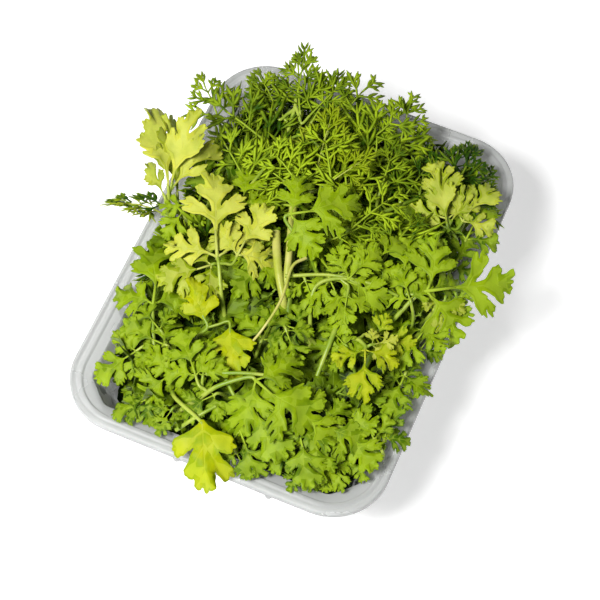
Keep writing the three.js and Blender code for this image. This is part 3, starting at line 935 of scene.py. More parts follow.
def swept_stems(name, routes, material):
    """One mesh of tubes. Each route is (points in millimetres, start radius, end radius)."""
    points, edges, radii = [], [], []
    for route, start, end in routes:
        first = len(points)
        points += list(route)
        edges += [(first + k, first + k + 1) for k in range(len(route) - 1)]
        radii += list(np.linspace(start, end, len(route)) * MM)
    source = plain_object(name + "_route", points, edges)
    source.data.attributes.new("radius_m", "FLOAT", "POINT").data.foreach_set("value", radii)
    return applied(source, stem_tree, name, {"Sides": STEM_SIDES, "Material": material})


# %% [markdown]
# ## The leafy stems on the pile
# These are the leaves that the eye meets first, so their places are listed one by one, as in the solid model.
# Each entry is one stem: its material slot, its shade, its radius and route, and its leaves. A leaf is
# its kind, its base, its tip and its roll.

# %% The stems and leaves of the top
SPRIGS = {
    "sprig_left_upright": {
        "slot": "pale_leaf",
        "shade": 0.15,
        "stem": [1.1, [14, -36, 47], [4, -46, 56], [-5, -56, 58]],
        "leaves": [
            ["narrow", [-8, -58, 60], [-33, -74, 77], 10],
            ["feather", [2, -60, 58], [8, -84, 60], 60],
        ],
    },
    "sprig_left_broad": {
        "slot": "green_leaf",
        "shade": 0.75,
        "stem": [1.2, [66, -30, 42], [58, -38, 54], [46, -44, 58]],
        "leaves": [
            ["broad", [42, -46, 58], [13, -55, 60], 0],
            ["broad", [62, -44, 55], [78, -56, 50], 0],
        ],
    },
    "sprig_pale_centre": {
        "slot": "pale_leaf",
        "shade": 0.8,
        "stem": [1.1, [36, -16, 46], [28, -22, 61], [20, -26, 67]],
        "leaves": [
            ["lobed", [16, -29, 67], [-15, -45, 74], 0],
            ["broad", [12, -22, 67], [-13, -20, 71], 0],
        ],
    },
    "sprig_yellow_near": {
        "slot": "yellow_leaf",
        "shade": 0.55,
        "stem": [1, [56, -24, 44], [48, -24, 56], [44, -20, 60]],
        "leaves": [
            ["fan", [41, -24, 62], [28, -34, 66], 0],
            ["fan", [42, -12, 62], [60, -2, 60], 0],
        ],
    },
    "sprig_near_centre": {
        "slot": "green_leaf",
        "shade": 0.75,
        "stem": [1.3, [76, -20, 44], [72, -12, 57], [67, -6, 64], [61, 4, 67]],
        "leaves": [
            ["broad", [60, 7, 67], [70, 38, 62], 0],
            ["broad", [66, -16, 63], [50, -30, 65], 0],
        ],
    },
    "sprig_yellow_over_rim": {
        "slot": "yellow_leaf",
        "shade": 0.45,
        "stem": [1.1, [66, -26, 44], [74, -22, 54], [82, -10, 58]],
        "leaves": [["fan", [82, -6, 59], [105, 5, 50], 0]],
    },
    "sprig_near_right": {
        "slot": "green_leaf",
        "shade": 0.55,
        "stem": [1.2, [52, 20, 44], [60, 26, 56], [68, 28, 58]],
        "leaves": [
            ["broad", [70, 30, 58], [88, 44, 52], 0],
            ["broad", [62, 36, 57], [66, 58, 54], 0],
        ],
    },
    "sprig_right_narrow": {
        "slot": "yellow_leaf",
        "shade": 0.15,
        "stem": [1.1, [30, 26, 46], [25, 34, 60], [28, 40, 63]],
        "leaves": [
            ["lobed", [29, 41, 64], [49, 49, 63], 0],
            ["lobed", [20, 42, 60], [16, 58, 58], 0],
        ],
    },
    "sprig_right_over_rim": {
        "slot": "green_leaf",
        "shade": 0.95,
        "stem": [1.3, [16, 40, 46], [8, 46, 58], [2, 50, 64]],
        "leaves": [
            ["lobed", [-4, 54, 66], [-24, 84, 62], 0],
            ["lobed", [-4, 44, 65], [-24, 38, 70], 0],
        ],
    },
    "sprig_far_right": {
        "slot": "pale_leaf",
        "shade": 0.3,
        "stem": [1.1, [-14, 40, 46], [-28, 46, 56], [-40, 50, 60]],
        "leaves": [
            ["lobed", [-42, 49, 60], [-62, 36, 70], 0],
            ["lobed", [-44, 55, 59], [-64, 60, 64], 0],
        ],
    },
    "sprig_centre_broad": {
        "slot": "green_leaf",
        "shade": 1.1,
        "stem": [1, [5, 14, 50], [0, 4, 68], [-5, -7, 75]],
        "leaves": [["broad", [-9, -8, 77], [-23, 18, 79], 0]],
    },
    "sprig_centre_narrow": {
        "slot": "green_leaf",
        "shade": 1.0,
        "stem": [1, [30, 18, 50], [18, 13, 65], [11, 14, 69], [6, 22, 70], [2, 34, 68]],
        "leaves": [
            ["lobed", [6, 24, 71], [-12, 30, 71], 0],
            ["lobed", [12, 26, 69], [28, 30, 66], 0],
        ],
    },
    "sprig_thick_stems": {
        "slot": "pale_leaf",
        "shade": -0.1,
        "stem": [2, [34, 8, 48], [22, 5, 58], [-4, -4, 61], [-40, -8, 63]],
        "leaves": [
            ["feather", [-42, -9, 65], [-66, -12, 74], 0],
            ["feather", [-34, -2, 66], [-50, 12, 76], 0],
        ],
    },
    "sprig_feather_middle": {
        "slot": "feather_leaf",
        "shade": 0.5,
        "stem": [1.3, [-24, -24, 47], [-46, -27, 58], [-64, -29, 63]],
        "leaves": [
            ["feather", [-67, -30, 65], [-91, -35, 72], 0],
            ["feather", [-62, -22, 65], [-86, -13, 69], 0],
            ["feather", [-60, -36, 63], [-76, -52, 64], 0],
        ],
    },
    "sprig_feather_right": {
        "slot": "feather_leaf",
        "shade": 0.5,
        "stem": [1.2, [-24, 14, 47], [-46, 17, 56], [-62, 19, 60]],
        "leaves": [
            ["feather", [-66, 18, 62], [-90, 14, 66], 0],
            ["feather", [-60, 10, 61], [-80, 0, 62], 0],
        ],
    },
    "sprig_feather_left": {
        "slot": "feather_leaf",
        "shade": 0.5,
        "stem": [1.2, [-16, -42, 45], [-34, -49, 54], [-46, -54, 56]],
        "leaves": [
            ["feather", [-48, -57, 57], [-66, -74, 61], 0],
            ["feather", [-44, -46, 57], [-61, -47, 60], 0],
        ],
    },
    "sprig_feather_corner": {
        "slot": "feather_leaf",
        "shade": 0.0,
        "stem": [1.2, [-24, 32, 46], [-42, 37, 53], [-56, 39, 55]],
        "leaves": [
            ["feather", [-60, 41, 57], [-83, 44, 56], 0],
            ["feather", [-54, 33, 57], [-74, 28, 59], 0],
        ],
    },
}

# %% [markdown]
# Each stem starts among the leaves in the tray and ends at its first leaf. The stalks of its other leaves
# leave it where it passes them at a set distance.

# %% Make each leafy stem, and let it stand for its node
STALK_RADIUS = 0.55
ROOT_DEPTH = 8
STALK_LENGTH = 8


def make_sprig(name, plan, order):
    radius, *points = plan["stem"]
    points = [np.array(point, dtype=float) for point in points]
    _, base, tip, _ = plan["leaves"][0]
    axis = np.array(tip, dtype=float) - base
    axis /= np.linalg.norm(axis)
    foot = points[0] + (points[0] - points[1]) * 0.5 - (0, 0, ROOT_DEPTH)
    joint = (points[-1] + base - axis * 3) / 2
    stem = smooth_route([foot, *points[:-1], joint, base + axis])
    routes = [(stem, radius, STALK_RADIUS * 1.2)]
    leaves = []
    for number, (kind, base, tip, roll) in enumerate(plan["leaves"]):
        base, tip = np.array(base, dtype=float), np.array(tip, dtype=float)
        if number:
            axis = (tip - base) / np.linalg.norm(tip - base)
            start = min(stem[4:-5], key=lambda p: abs(np.linalg.norm(p - base) - STALK_LENGTH))
            before = base - axis * min(4, 0.5 * np.linalg.norm(base - start))
            stalk = smooth_route([start, (start + before) / 2, before, base + axis], 4)
            routes.append((stalk, radius * 0.6, STALK_RADIUS))
        shade = plan["shade"] + random.Random(order * 10 + number).uniform(-0.12, 0.12)
        leaves.append(placed_leaf(kind, base, tip, roll, order + number, shade))
    blades = mesh_object(name + "_leaves", joined(leaves), leaf_materials[plan["slot"]])
    stems = swept_stems(name + "_stems", routes, stem_material)
    for piece in (blades, stems):
        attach(piece, "root")
        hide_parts(name)


for order, (name, plan) in enumerate(SPRIGS.items()):
    make_sprig(name, plan, order)
print(len(SPRIGS), "leafy stems made")

# %% [markdown]
# ## The leaves that fill the tray
# Under the top leaves lie hundreds more, at every angle. Placing them by hand would add nothing. A
# surface like the top of the pile is made by the same formula as in the solid model, and Geometry Nodes
# scatter leaves over it: points at least a given distance apart, a leaf picked from a small set for each,
# turned to face outwards and then tilted and spun at random with a fixed seed.

# %% The pile's height, and a surface at a depth below it
MOUND_TOP = 50


def mound_height(x, y):
    along = (x + 22) / (TRAY_LENGTH / 2)
    across = y / (TRAY_WIDTH / 2)
    hollow = np.exp(-(((x - 74) / 24) ** 2) - ((y + 52) / 22) ** 2)
    far_corner = np.exp(-(((x + 78) / 16) ** 2) - ((y + 56) / 14) ** 2)
    return MOUND_TOP - 7 * along ** 2 - 7 * across ** 2 - 14 * hollow - 14 * far_corner


def feathery(x, y):
    return x < -8 - 0.35 * y


def mound_surface(depth, inset, chosen):
    """A grid that follows the pile. chosen says which places (x, y) belong to it."""
    cell = 4.0
    xs = np.arange(-TRAY_LENGTH / 2 + inset, TRAY_LENGTH / 2 - inset + cell, cell)
    ys = np.arange(-TRAY_WIDTH / 2 + inset, TRAY_WIDTH / 2 - inset + cell, cell)
    points = [(x, y, mound_height(x, y) - depth) for x in xs for y in ys]
    faces = []
    for i in range(len(xs) - 1):
        for j in range(len(ys) - 1):
            if chosen(xs[i] + cell / 2, ys[j] + cell / 2):
                a = i * len(ys) + j
                faces.append((a, a + len(ys), a + len(ys) + 1, a + 1))
    return plain_object("pile_surface", points, faces=faces)


# %% [markdown]
# The tree sets a leaf from a collection on each point. It stores every leaf's shade and number on the
# mesh before the copies become plain geometry.

# %% The tree that scatters leaves
def make_scatter_tree():
    tree = bpy.data.node_groups.new("scatter leaves", "GeometryNodeTree")
    inputs = {
        "Geometry": "Geometry", "Leaves": "Collection", "Spacing": "Float", "Crowd": "Float", "Seed": "Int",
        "Smallest": "Float", "Largest": "Float", "Tilt": "Float", "Heading": "Float", "Spread": "Float",
        "Darkest": "Float", "Lightest": "Float", "Material": "Material",
    }
    for name, kind in inputs.items():
        tree.interface.new_socket(name, in_out="INPUT", socket_type="NodeSocket" + kind)
    tree.interface.new_socket("Geometry", in_out="OUTPUT", socket_type="NodeSocketGeometry")
    given = tree.nodes.new("NodeGroupInput").outputs
    result = tree.nodes.new("NodeGroupOutput")

    scatter = tree.nodes.new("GeometryNodeDistributePointsOnFaces")
    scatter.distribute_method = "POISSON"
    tree.links.new(given["Geometry"], scatter.inputs["Mesh"])
    tree.links.new(given["Spacing"], scatter.inputs["Distance Min"])
    tree.links.new(given["Crowd"], scatter.inputs["Density Max"])
    tree.links.new(given["Seed"], scatter.inputs["Seed"])

    def draw(low, high, data_type="FLOAT"):
        """A random value for each point. Every call has a seed of its own."""
        node = tree.nodes.new("FunctionNodeRandomValue")
        node.data_type = data_type
        draw.count += 1
        sockets = [s for s in node.inputs if s.enabled]
        for socket, value in zip(sockets[:2], (low, high)):
            if isinstance(value, bpy.types.NodeSocket):
                tree.links.new(value, socket)
            else:
                socket.default_value = value
        seed = shader_math(tree, "ADD", given["Seed"], draw.count * 17.0)
        tree.links.new(seed, node.inputs["Seed"])
        return next(s for s in node.outputs if s.enabled)

    def rotated(start, angles):
        turn = add_node(tree, "FunctionNodeEulerToRotation", {0: angles.outputs[0]}).outputs[0]
        links = {"Rotation": start.outputs[0], 1: turn}
        return add_node(tree, "FunctionNodeRotateRotation", links, rotation_space="LOCAL")

    def stored(geometry, name, value):
        links = {"Geometry": geometry, "Name": name}
        node = add_node(tree, "GeometryNodeStoreNamedAttribute", links, data_type="FLOAT", domain="INSTANCE")
        tree.links.new(value, node.inputs["Value"])
        return node.outputs[0]

    draw.count = 0
    minus_tilt = shader_math(tree, "MULTIPLY", given["Tilt"], -1.0)
    up = add_node(tree, "FunctionNodeAlignRotationToVector", {"Vector": scatter.outputs["Normal"]}, axis="Z")
    angles = add_node(tree, "ShaderNodeCombineXYZ", {0: draw(minus_tilt, given["Tilt"])})
    tree.links.new(draw(minus_tilt, given["Tilt"]), angles.inputs[1])
    minus_spread = shader_math(tree, "MULTIPLY", given["Spread"], -1.0)
    around = shader_math(tree, "ADD", given["Heading"], draw(minus_spread, given["Spread"]))
    spin = add_node(tree, "ShaderNodeCombineXYZ", {2: around})
    leaned = rotated(rotated(up, spin), angles)

    leaves = tree.nodes.new("GeometryNodeCollectionInfo")
    leaves.inputs["Separate Children"].default_value = True
    leaves.inputs["Reset Children"].default_value = True
    tree.links.new(given["Leaves"], leaves.inputs["Collection"])
    place_links = {"Points": scatter.outputs["Points"], "Instance": leaves.outputs[0], "Pick Instance": True}
    place_links["Rotation"] = leaned.outputs[0]
    place = add_node(tree, "GeometryNodeInstanceOnPoints", place_links)
    tree.links.new(draw(0, 99, "INT"), place.inputs["Instance Index"])
    tree.links.new(draw(given["Smallest"], given["Largest"]), place.inputs["Scale"])
    shaded = stored(place.outputs[0], "shade", draw(given["Darkest"], given["Lightest"]))
    numbered = stored(shaded, "leaf_number", add_node(tree, "GeometryNodeInputIndex").outputs[0])
    solid = add_node(tree, "GeometryNodeRealizeInstances", {"Geometry": numbered}).outputs[0]
    final = add_node(tree, "GeometryNodeSetMaterial", {"Geometry": solid, "Material": given["Material"]})
    tree.links.new(final.outputs[0], result.inputs[0])
    return tree


scatter_tree = make_scatter_tree()
print("scatter tree:", len(scatter_tree.nodes), "nodes")

# %% [markdown]
# The leaves to pick from are drawn with fewer triangles than the ones on top, because most of each is hidden.

# %% The small sets of leaves to pick from
LEAF_MIDDLE = 0.45


def bent(drawing, droop, cup):
    """A drawing bent along and across, and moved so that its middle is at the origin."""
    points = drawing["points"].copy()
    u = np.maximum(points[:, 0], 0)
    points[:, 2] += droop * u * (1 - u) * 2 - cup * points[:, 1] ** 2 * 2
    points[:, 0] -= LEAF_MIDDLE
    return {**drawing, "points": points}


def leaf_set(name, drawings):
    """A collection of unit leaves, one metre long, which the scattering tree scales down."""
    group = bpy.data.collections.new(name)
    for number, drawing in enumerate(drawings):
        material = leaf_materials["packed_leaves"]
        leaf = mesh_object(f"{name}_{number}", drawing, material, scale=1.0, hidden=True)
        group.objects.link(leaf)
    return group


broad_set = leaf_set("broad_set", [
    bent(three_leaflets("broad", PLAIN, 21, rib=0), 0.15, 0.2),
    bent(three_leaflets("broad", PLAIN, 22, rib=0), -0.1, 0.3),
    bent(three_leaflets("broad", PLAIN, 25, rib=0), 0.3, 0.1),
    bent(three_leaflets("lobed", PLAIN, 23, rib=0), 0.25, 0.1),
    bent(three_leaflets("lobed", PLAIN, 24, rib=0), 0.1, -0.2),
])
feather_set = leaf_set("feather_set", [
    bent(feather_leaf(3, 31, sides=3), 0.15, 0.1),
    bent(feather_leaf(3, 32, sides=3), 0.3, -0.1),
    bent(feather_leaf(3, 33, sides=3), -0.15, 0.3),
])

# %% [markdown]
# A scattered leaf may stick out through the wall. It is moved inwards as a whole first. What is still
# outside is then pressed against the wall, as in a packed tray.

# %% Keep what is scattered inside the tray, or over its rim
WALL = 0.9
BASE_INSET = 16
WALL_TOP_INSET = 8.6


def wall_inset(z):
    return BASE_INSET + WALL - (BASE_INSET - WALL_TOP_INSET) * np.clip(z, 0, TRAY_HEIGHT) / TRAY_HEIGHT


def past_wall(points):
    """How far each point is past the inside of the wall, along x, along y and across a corner."""
    margin = 0.8
    corner_cut = 11
    over_rim = 3
    inset = wall_inset(points[:, 2]) + margin - over_rim * (points[:, 2] > TRAY_HEIGHT + 0.6)
    reach_x, reach_y = TRAY_LENGTH / 2 - inset, TRAY_WIDTH / 2 - inset
    size = np.abs(points[:, :2])
    past_corner = (size.sum(axis=1) - (reach_x + reach_y - corner_cut)) / math.sqrt(2)
    return size[:, 0] - reach_x, size[:, 1] - reach_y, past_corner


def pushed_in(points, along_x, along_y, corner):
    """Points moved towards the middle by the given amounts."""
    moved = points.copy()
    side = np.sign(points[:, :2])
    moved[:, 0] -= side[:, 0] * (np.maximum(along_x, 0) + np.maximum(corner, 0) / math.sqrt(2))
    moved[:, 1] -= side[:, 1] * (np.maximum(along_y, 0) + np.maximum(corner, 0) / math.sqrt(2))
    return moved


def press_into_tray(piece):
    """Moves each leaf inside the wall as a whole, and then presses what still sticks out against it."""
    floor = 1.8
    count = len(piece.data.vertices)
    points = np.zeros(count * 3, dtype=np.float32)
    piece.data.vertices.foreach_get("co", points)
    points = points.reshape(-1, 3).astype(float) / MM
    numbers = piece.data.attributes.get("leaf_number")
    if numbers is not None:
        label = np.zeros(count, dtype=np.float32)
        numbers.data.foreach_get("value", label)
        label = label.astype(int)
        past = []
        for amounts in past_wall(points):
            most = np.full(label.max() + 1, -1e9)
            np.maximum.at(most, label, amounts)
            past.append(most[label])
        middle = np.zeros((label.max() + 1, 3))
        np.add.at(middle, label, points)
        middle /= np.bincount(label)[:, None]
        points += pushed_in(middle[label], *past) - middle[label]
        piece.data.attributes.remove(numbers)
    for _ in range(2):
        past_x, past_y, _ = past_wall(points)
        points = pushed_in(points, past_x, past_y, np.zeros(count))
        points = pushed_in(points, np.zeros(count), np.zeros(count), past_wall(points)[2])
    points[:, 2] = np.maximum(points[:, 2], floor)
    piece.data.vertices.foreach_set("co", (points * MM).astype(np.float32).ravel())
    piece.data.update()


# %% [markdown]
# One formula gives the tray's outline at any height. Its corners are flat facets at the foot and round
# at the flange. The leaves against the wall stand on such rings too.

# %% Rings of the tray's outline
FLANGE_RADIUS = 24
CORNER_STEPS = 14
FACET_SIZE = 10
FACET_LINE = np.array([
    (-1.2, 0), (-1, -0.04), (-0.77, -0.23), (-0.5, -0.5), (-0.23, -0.77), (-0.04, -1), (0, -1.2),
])


def corner_points(form, size):
    """One corner, from the sharp corner at (0, 0). form is 0 for a facet and 1 for a round."""
    shares = np.linspace(0, 1, CORNER_STEPS)
    angles = shares * math.pi / 2
    rounded = np.column_stack([np.sin(angles) - 1, np.cos(angles) - 1])
    knots = np.linspace(0, 1, len(FACET_LINE))
    facet = np.column_stack([np.interp(shares, knots, FACET_LINE[:, k]) for k in (0, 1)])
    return (rounded if form else facet) * size


def tray_ring(inset, z, form, size):
    ring = []
    for sx, sy in ((1, 1), (-1, 1), (-1, -1), (1, -1)):
        points = corner_points(form, size)
        if sx * sy > 0:
            points = points[::-1]
        for cx, cy in points:
            ring.append((sx * (TRAY_LENGTH / 2 - inset + cx), sy * (TRAY_WIDTH / 2 - inset + cy), z))
    return ring


# %% [markdown]
# Three layers of broad leaves fill the near part and two of feathery leaves the far part, from the deep
# to the high. The deeper layers take darker shades, a painted shade, and the high ones are bright. In
# both parts more leaves stand along the wall.

# %% Scatter the layers
MOST_PER_SQUARE_METRE = 40000.0
ANY_WAY = (0, 180)
FAR_END = (180, 60)


def scatter_layer(
    name, surface, leaves, spacing, sizes, tilt, heading, shades, seed, material="packed_leaves",
):
    """Scatters leaves over a surface. heading is a direction and how far leaves may turn from it."""
    inputs = {
        "Leaves": leaves, "Spacing": spacing * MM, "Crowd": MOST_PER_SQUARE_METRE, "Seed": seed,
        "Smallest": sizes[0] * MM, "Largest": sizes[1] * MM, "Tilt": math.radians(tilt),
        "Heading": math.radians(heading[0]), "Spread": math.radians(heading[1]),
        "Darkest": shades[0], "Lightest": shades[1], "Material": leaf_materials[material],
    }
    layer = applied(surface, scatter_tree, name, inputs)
    press_into_tray(layer)
    print(name, triangle_count(layer), "triangles")
    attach(layer, "root")
    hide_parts("packed_bunch")


def broad_zone(x, y):
    return not feathery(x + 14, y) and mound_height(x, y) > 24


def feather_zone(x, y):
    return feathery(x - 6, y)


def wall_strip(chosen):
    """A strip just inside the wall, whose faces look at the middle of the tray."""
    low, high, gap = 8, 47, 1.5
    rows = [tray_ring(wall_inset(z) + gap, z, 0, FACET_SIZE) for z in np.linspace(low, high, 5)]
    columns = len(rows[0])
    points = [p for row in rows for p in row]
    faces = []
    for row in range(len(rows) - 1):
        for k in range(columns):
            a, b = row * columns + k, row * columns + (k + 1) % columns
            x, y, _ = points[a]
            if chosen(x, y):
                faces.append((a, a + columns, b + columns, b))
    return plain_object("wall_strip", points, faces=faces)


# The deep layers have the darkest shades and the middle one dark ones: painted shade.
scatter_layer(
    "packed_broad_deep", mound_surface(10, 15, broad_zone), broad_set,
    spacing=8.5, sizes=(19, 28), tilt=50, heading=ANY_WAY, shades=(-0.4, 0), seed=3,
)
scatter_layer(
    "packed_broad_middle", mound_surface(3, 13, broad_zone), broad_set,
    spacing=10, sizes=(19, 27), tilt=50, heading=ANY_WAY, shades=(-0.3, 0.35), seed=4,
)
scatter_layer(
    "packed_broad_top", mound_surface(-4, 12, broad_zone), broad_set,
    spacing=11, sizes=(20, 29), tilt=38, heading=ANY_WAY, shades=(-0.1, 0.9), seed=5,
)
scatter_layer(
    "packed_feathers_deep", mound_surface(8, 13, feather_zone), feather_set,
    spacing=9, sizes=(34, 46), tilt=45, heading=FAR_END, shades=(-0.5, 0), seed=7,
)
scatter_layer(
    "packed_feathers_top", mound_surface(-3, 11, feather_zone), feather_set, material="feather_leaf",
    spacing=17, sizes=(42, 58), tilt=30, heading=FAR_END, shades=(0.1, 1.0), seed=9,
)
scatter_layer(
    "packed_broad_edge", wall_strip(broad_zone), broad_set,
    spacing=10, sizes=(18, 25), tilt=30, heading=ANY_WAY, shades=(0.1, 0.8), seed=11,
)
scatter_layer(
    "packed_feathers_edge", wall_strip(feathery), feather_set, material="feather_leaf",
    spacing=8.5, sizes=(24, 36), tilt=30, heading=ANY_WAY, shades=(0.0, 0.6), seed=12,
)
for group in (broad_set, feather_set):
    for leaf in list(group.objects):
        bpy.data.objects.remove(leaf)
    bpy.data.collections.remove(group)

# %% [markdown]
# ## Leaves placed by the photograph
# The eye knows a picture by its brightest and nearest shapes. So the leaves that show most in the
# photograph are placed by their spot in its 600 by 600 frame, at a chosen height on the pile. The camera
# turns a spot and a height into a place. Each leaf has a stalk that runs back and down into the pile.

# %% From a spot in the picture to a place on the pile
def seen_at(spot):
    """The place in millimetres of (across, down, height): a spot in the picture, at that height."""
    across, down, height = spot
    right, up, back = camera_axes()
    eye = CAMERA_TARGET + back * CAMERA_DISTANCE
    focal = LENS / SENSOR * 600
    ray = right * ((across - 300) / focal) + up * ((300 - down) / focal) - back
    return np.array(eye + ray * ((height * MM - eye.z) / ray.z)) / MM


# Each entry: kind, shade from dark to light, base, tip, roll
LOOSE_LEAVES = {
    "green_leaf": [
        ["broad", 0.6, (165, 345, 57), (120, 328, 54), 10],
        ["broad", 0.7, (176, 372, 57), (130, 398, 51), -15],
        ["broad", 0.2, (152, 398, 51), (110, 414, 47), 20],
        ["lobed", 0.5, (160, 330, 58), (135, 300, 58), 0],
        ["broad", 0.45, (215, 395, 60), (178, 415, 55), 15],
        ["broad", 0.8, (203, 376, 63), (208, 338, 64), -20],
        ["broad", 0.6, (248, 400, 62), (290, 460, 55), 10],
        ["lobed", 1.1, (296, 412, 60), (340, 440, 57), 0],
        ["broad", 0.5, (318, 432, 58), (310, 488, 52), -10],
        ["broad", 1.0, (345, 430, 56), (380, 468, 52), 15],
        ["lobed", 0.4, (240, 430, 56), (262, 478, 51), 20],
        ["broad", 0.3, (300, 445, 54), (268, 470, 50), 0],
        ["lobed", 1.0, (338, 276, 68), (385, 258, 70), 0],
        ["lobed", 0.95, (345, 280, 68), (392, 300, 67), 10],
        ["lobed", 1.0, (330, 280, 68), (348, 325, 66), -10],
        ["lobed", 0.9, (305, 280, 67), (318, 315, 66), 0],
        ["lobed", 0.9, (372, 265, 68), (402, 235, 69), 0],
        ["broad", 0.8, (410, 300, 66), (398, 262, 67), 0],
        ["broad", 0.5, (432, 290, 64), (425, 235, 66), 20],
        ["broad", 0.3, (456, 296, 60), (466, 325, 55), 30],
        ["lobed", 0.6, (425, 330, 56), (400, 372, 54), 20],
        ["broad", 0.4, (405, 375, 53), (390, 420, 51), 20],
        ["lobed", 0.6, (375, 440, 54), (352, 405, 55), 0],
        ["lobed", 0.9, (187, 205, 66), (165, 240, 62), 0],
        ["broad", 0.6, (262, 262, 62), (236, 300, 60), 0],
        ["lobed", 0.3, (300, 330, 60), (258, 318, 59), 0],
        ["lobed", 0.5, (286, 330, 61), (300, 368, 60), 0],
        ["lobed", 0.7, (345, 345, 62), (322, 322, 62), 0],
        ["broad", 0.6, (350, 360, 61), (330, 330, 61), 0],
        ["broad", 0.4, (262, 340, 59), (285, 300, 59), 0],
        ["broad", 0.1, (212, 198, 58), (250, 152, 58), 20],
        ["broad", 0.95, (240, 205, 68), (256, 166, 68), -10],
        ["broad", 0.9, (330, 458, 51), (322, 492, 48), 0],
        ["lobed", 0.6, (360, 452, 51), (362, 482, 49), 0],
        ["broad", 0.0, (302, 468, 50), (286, 490, 48), 0],
        ["broad", 0.5, (374, 428, 51), (372, 460, 49), 0],
        ["lobed", 0.5, (388, 392, 52), (392, 424, 50), 10],
        ["lobed", 0.6, (338, 462, 50), (342, 492, 48), 0],
        ["broad", 0.3, (236, 452, 52), (250, 480, 50), 0],
        ["lobed", 0.4, (150, 402, 50), (124, 422, 47), 0],
        ["broad", 0.5, (172, 410, 51), (154, 434, 48), 0],
        ["broad", 0.4, (214, 436, 52), (222, 466, 49), 0],
        ["broad", 0.1, (322, 470, 50), (304, 492, 48), 0],
        ["lobed", 0.25, (466, 240, 56), (486, 200, 56), 0],
        ["broad", 0.2, (452, 268, 56), (474, 236, 56), 0],
        ["lobed", 0.35, (440, 310, 55), (458, 276, 55), 0],
        ["broad", 0.3, (420, 350, 53), (440, 324, 53), 0],
        ["lobed", 0.3, (400, 386, 52), (418, 360, 52), 0],
        ["broad", 0.0, (384, 440, 50), (396, 404, 51), 0],
    ],
    "pale_leaf": [
        ["narrow", 0.7, (168, 186, 68), (157, 96, 80), 20],
        ["narrow", 0.8, (172, 184, 68), (198, 108, 80), -15],
        ["narrow", 0.7, (174, 186, 67), (212, 138, 76), -10],
        ["narrow", 0.3, (164, 196, 64), (147, 156, 68), 10],
        ["lobed", 0.6, (372, 345, 64), (398, 338, 64), 0],
        ["broad", 0.1, (212, 265, 65), (158, 288, 62), 15],
        ["lobed", 0.0, (445, 300, 62), (440, 335, 57), 0],
        ["narrow", 0.3, (447, 224, 61), (434, 168, 68), 0],
        ["narrow", 0.1, (451, 222, 60), (472, 184, 63), 0],
        ["narrow", 0.0, (446, 228, 60), (424, 214, 62), 0],
    ],
    "feather_leaf": [
        ["feather", 0.3, (275, 150, 60), (208, 98, 64), 0],
        ["feather", 0.4, (285, 120, 62), (250, 75, 64), 10],
        ["feather", 0.6, (300, 112, 64), (298, 54, 68), 0],
        ["feather", 0.5, (312, 122, 64), (342, 72, 68), -10],
        ["feather", 0.5, (330, 130, 64), (375, 78, 66), 0],
        ["feather", 0.6, (352, 150, 63), (414, 104, 64), 10],
        ["feather", 0.5, (362, 165, 62), (428, 132, 61), -10],
        ["feather", 0.6, (250, 190, 64), (216, 128, 64), 0],
        ["feather", 1.0, (332, 188, 68), (322, 118, 68), 0],
        ["feather", 1.0, (300, 190, 67), (262, 140, 67), 0],
        ["feather", 0.9, (348, 200, 67), (342, 138, 67), 10],
        ["feather", 0.5, (380, 192, 64), (396, 140, 64), 0],
        ["feather", 0.2, (402, 200, 62), (432, 160, 62), 0],
        ["feather", -0.1, (440, 200, 58), (480, 148, 55), 0],
        ["feather", -0.2, (462, 192, 55), (494, 168, 52), 0],
        ["feather", 0.1, (466, 220, 55), (494, 184, 53), 0],
        ["feather", 0.9, (350, 230, 67), (402, 190, 67), 0],
        ["feather", 0.8, (330, 240, 66), (385, 215, 66), 0],
        ["feather", 0.3, (390, 250, 64), (422, 215, 63), 0],
        ["feather", 1.0, (285, 182, 66), (240, 150, 66), 0],
        ["feather", 0.8, (262, 232, 64), (258, 176, 65), 0],
        ["frond", 0.2, (168, 207, 60), (107, 200, 58), 0],
    ],
}

# Each entry: start radius, end radius, spots along the stem
LOOSE_STEMS = [
    [1.9, 1.4, (276, 232, 66), (278, 268, 65), (283, 298, 61), (286, 322, 52)],
    [1.7, 1.2, (293, 208, 68), (289, 255, 66), (284, 300, 60), (283, 320, 52)],
    [0.7, 0.5, (306, 258, 70), (292, 267, 71), (281, 300, 70), (262, 330, 66), (243, 352, 58)],
    [1.3, 0.9, (448, 304, 50), (408, 345, 53), (372, 382, 53)],
    [1.2, 0.8, (434, 323, 48), (398, 366, 51), (368, 402, 50)],
    [1.2, 0.9, (347, 302, 64), (331, 340, 63), (317, 376, 57)],
    [0.9, 0.7, (176, 430, 50), (198, 416, 57), (216, 406, 59)],
    [0.8, 0.6, (285, 276, 68), (330, 275, 69), (372, 284, 69), (398, 296, 66)],
    [0.9, 0.7, (206, 374, 63), (240, 373, 65), (276, 376, 65)],
    [0.8, 0.6, (226, 380, 62), (242, 410, 60), (262, 440, 57)],
    [1.0, 0.7, (360, 225, 60), (400, 205, 60), (446, 188, 57)],
    [0.7, 0.5, (250, 186, 68), (292, 138, 68), (318, 146, 68), (332, 180, 66)],
]

# %% [markdown]
# The leaves of one finish are one mesh, and so are their stalks. A stalk bends down into the pile behind
# its leaf, and stays inside the tray.

# %% Make the loose leaves, their stalks and the loose stems
STALK_RUN = 13
STALK_BEND = 6
STALK_DEPTH = 6
STALK_BOUNDS = (76, 51)


def sunk_stalk(base, axis):
    """A route from a leaf's base back and down into the pile."""
    foot = base - axis * STALK_RUN
    foot[:2] = np.clip(foot[:2], np.negative(STALK_BOUNDS), STALK_BOUNDS)
    foot[2] = min(foot[2], float(mound_height(foot[0], foot[1]))) - STALK_DEPTH
    middle = base - axis * STALK_BEND
    middle[2] = (base[2] * 2 + foot[2]) / 3
    return smooth_route([base + axis, base - axis * 1.5, middle, foot], 4)


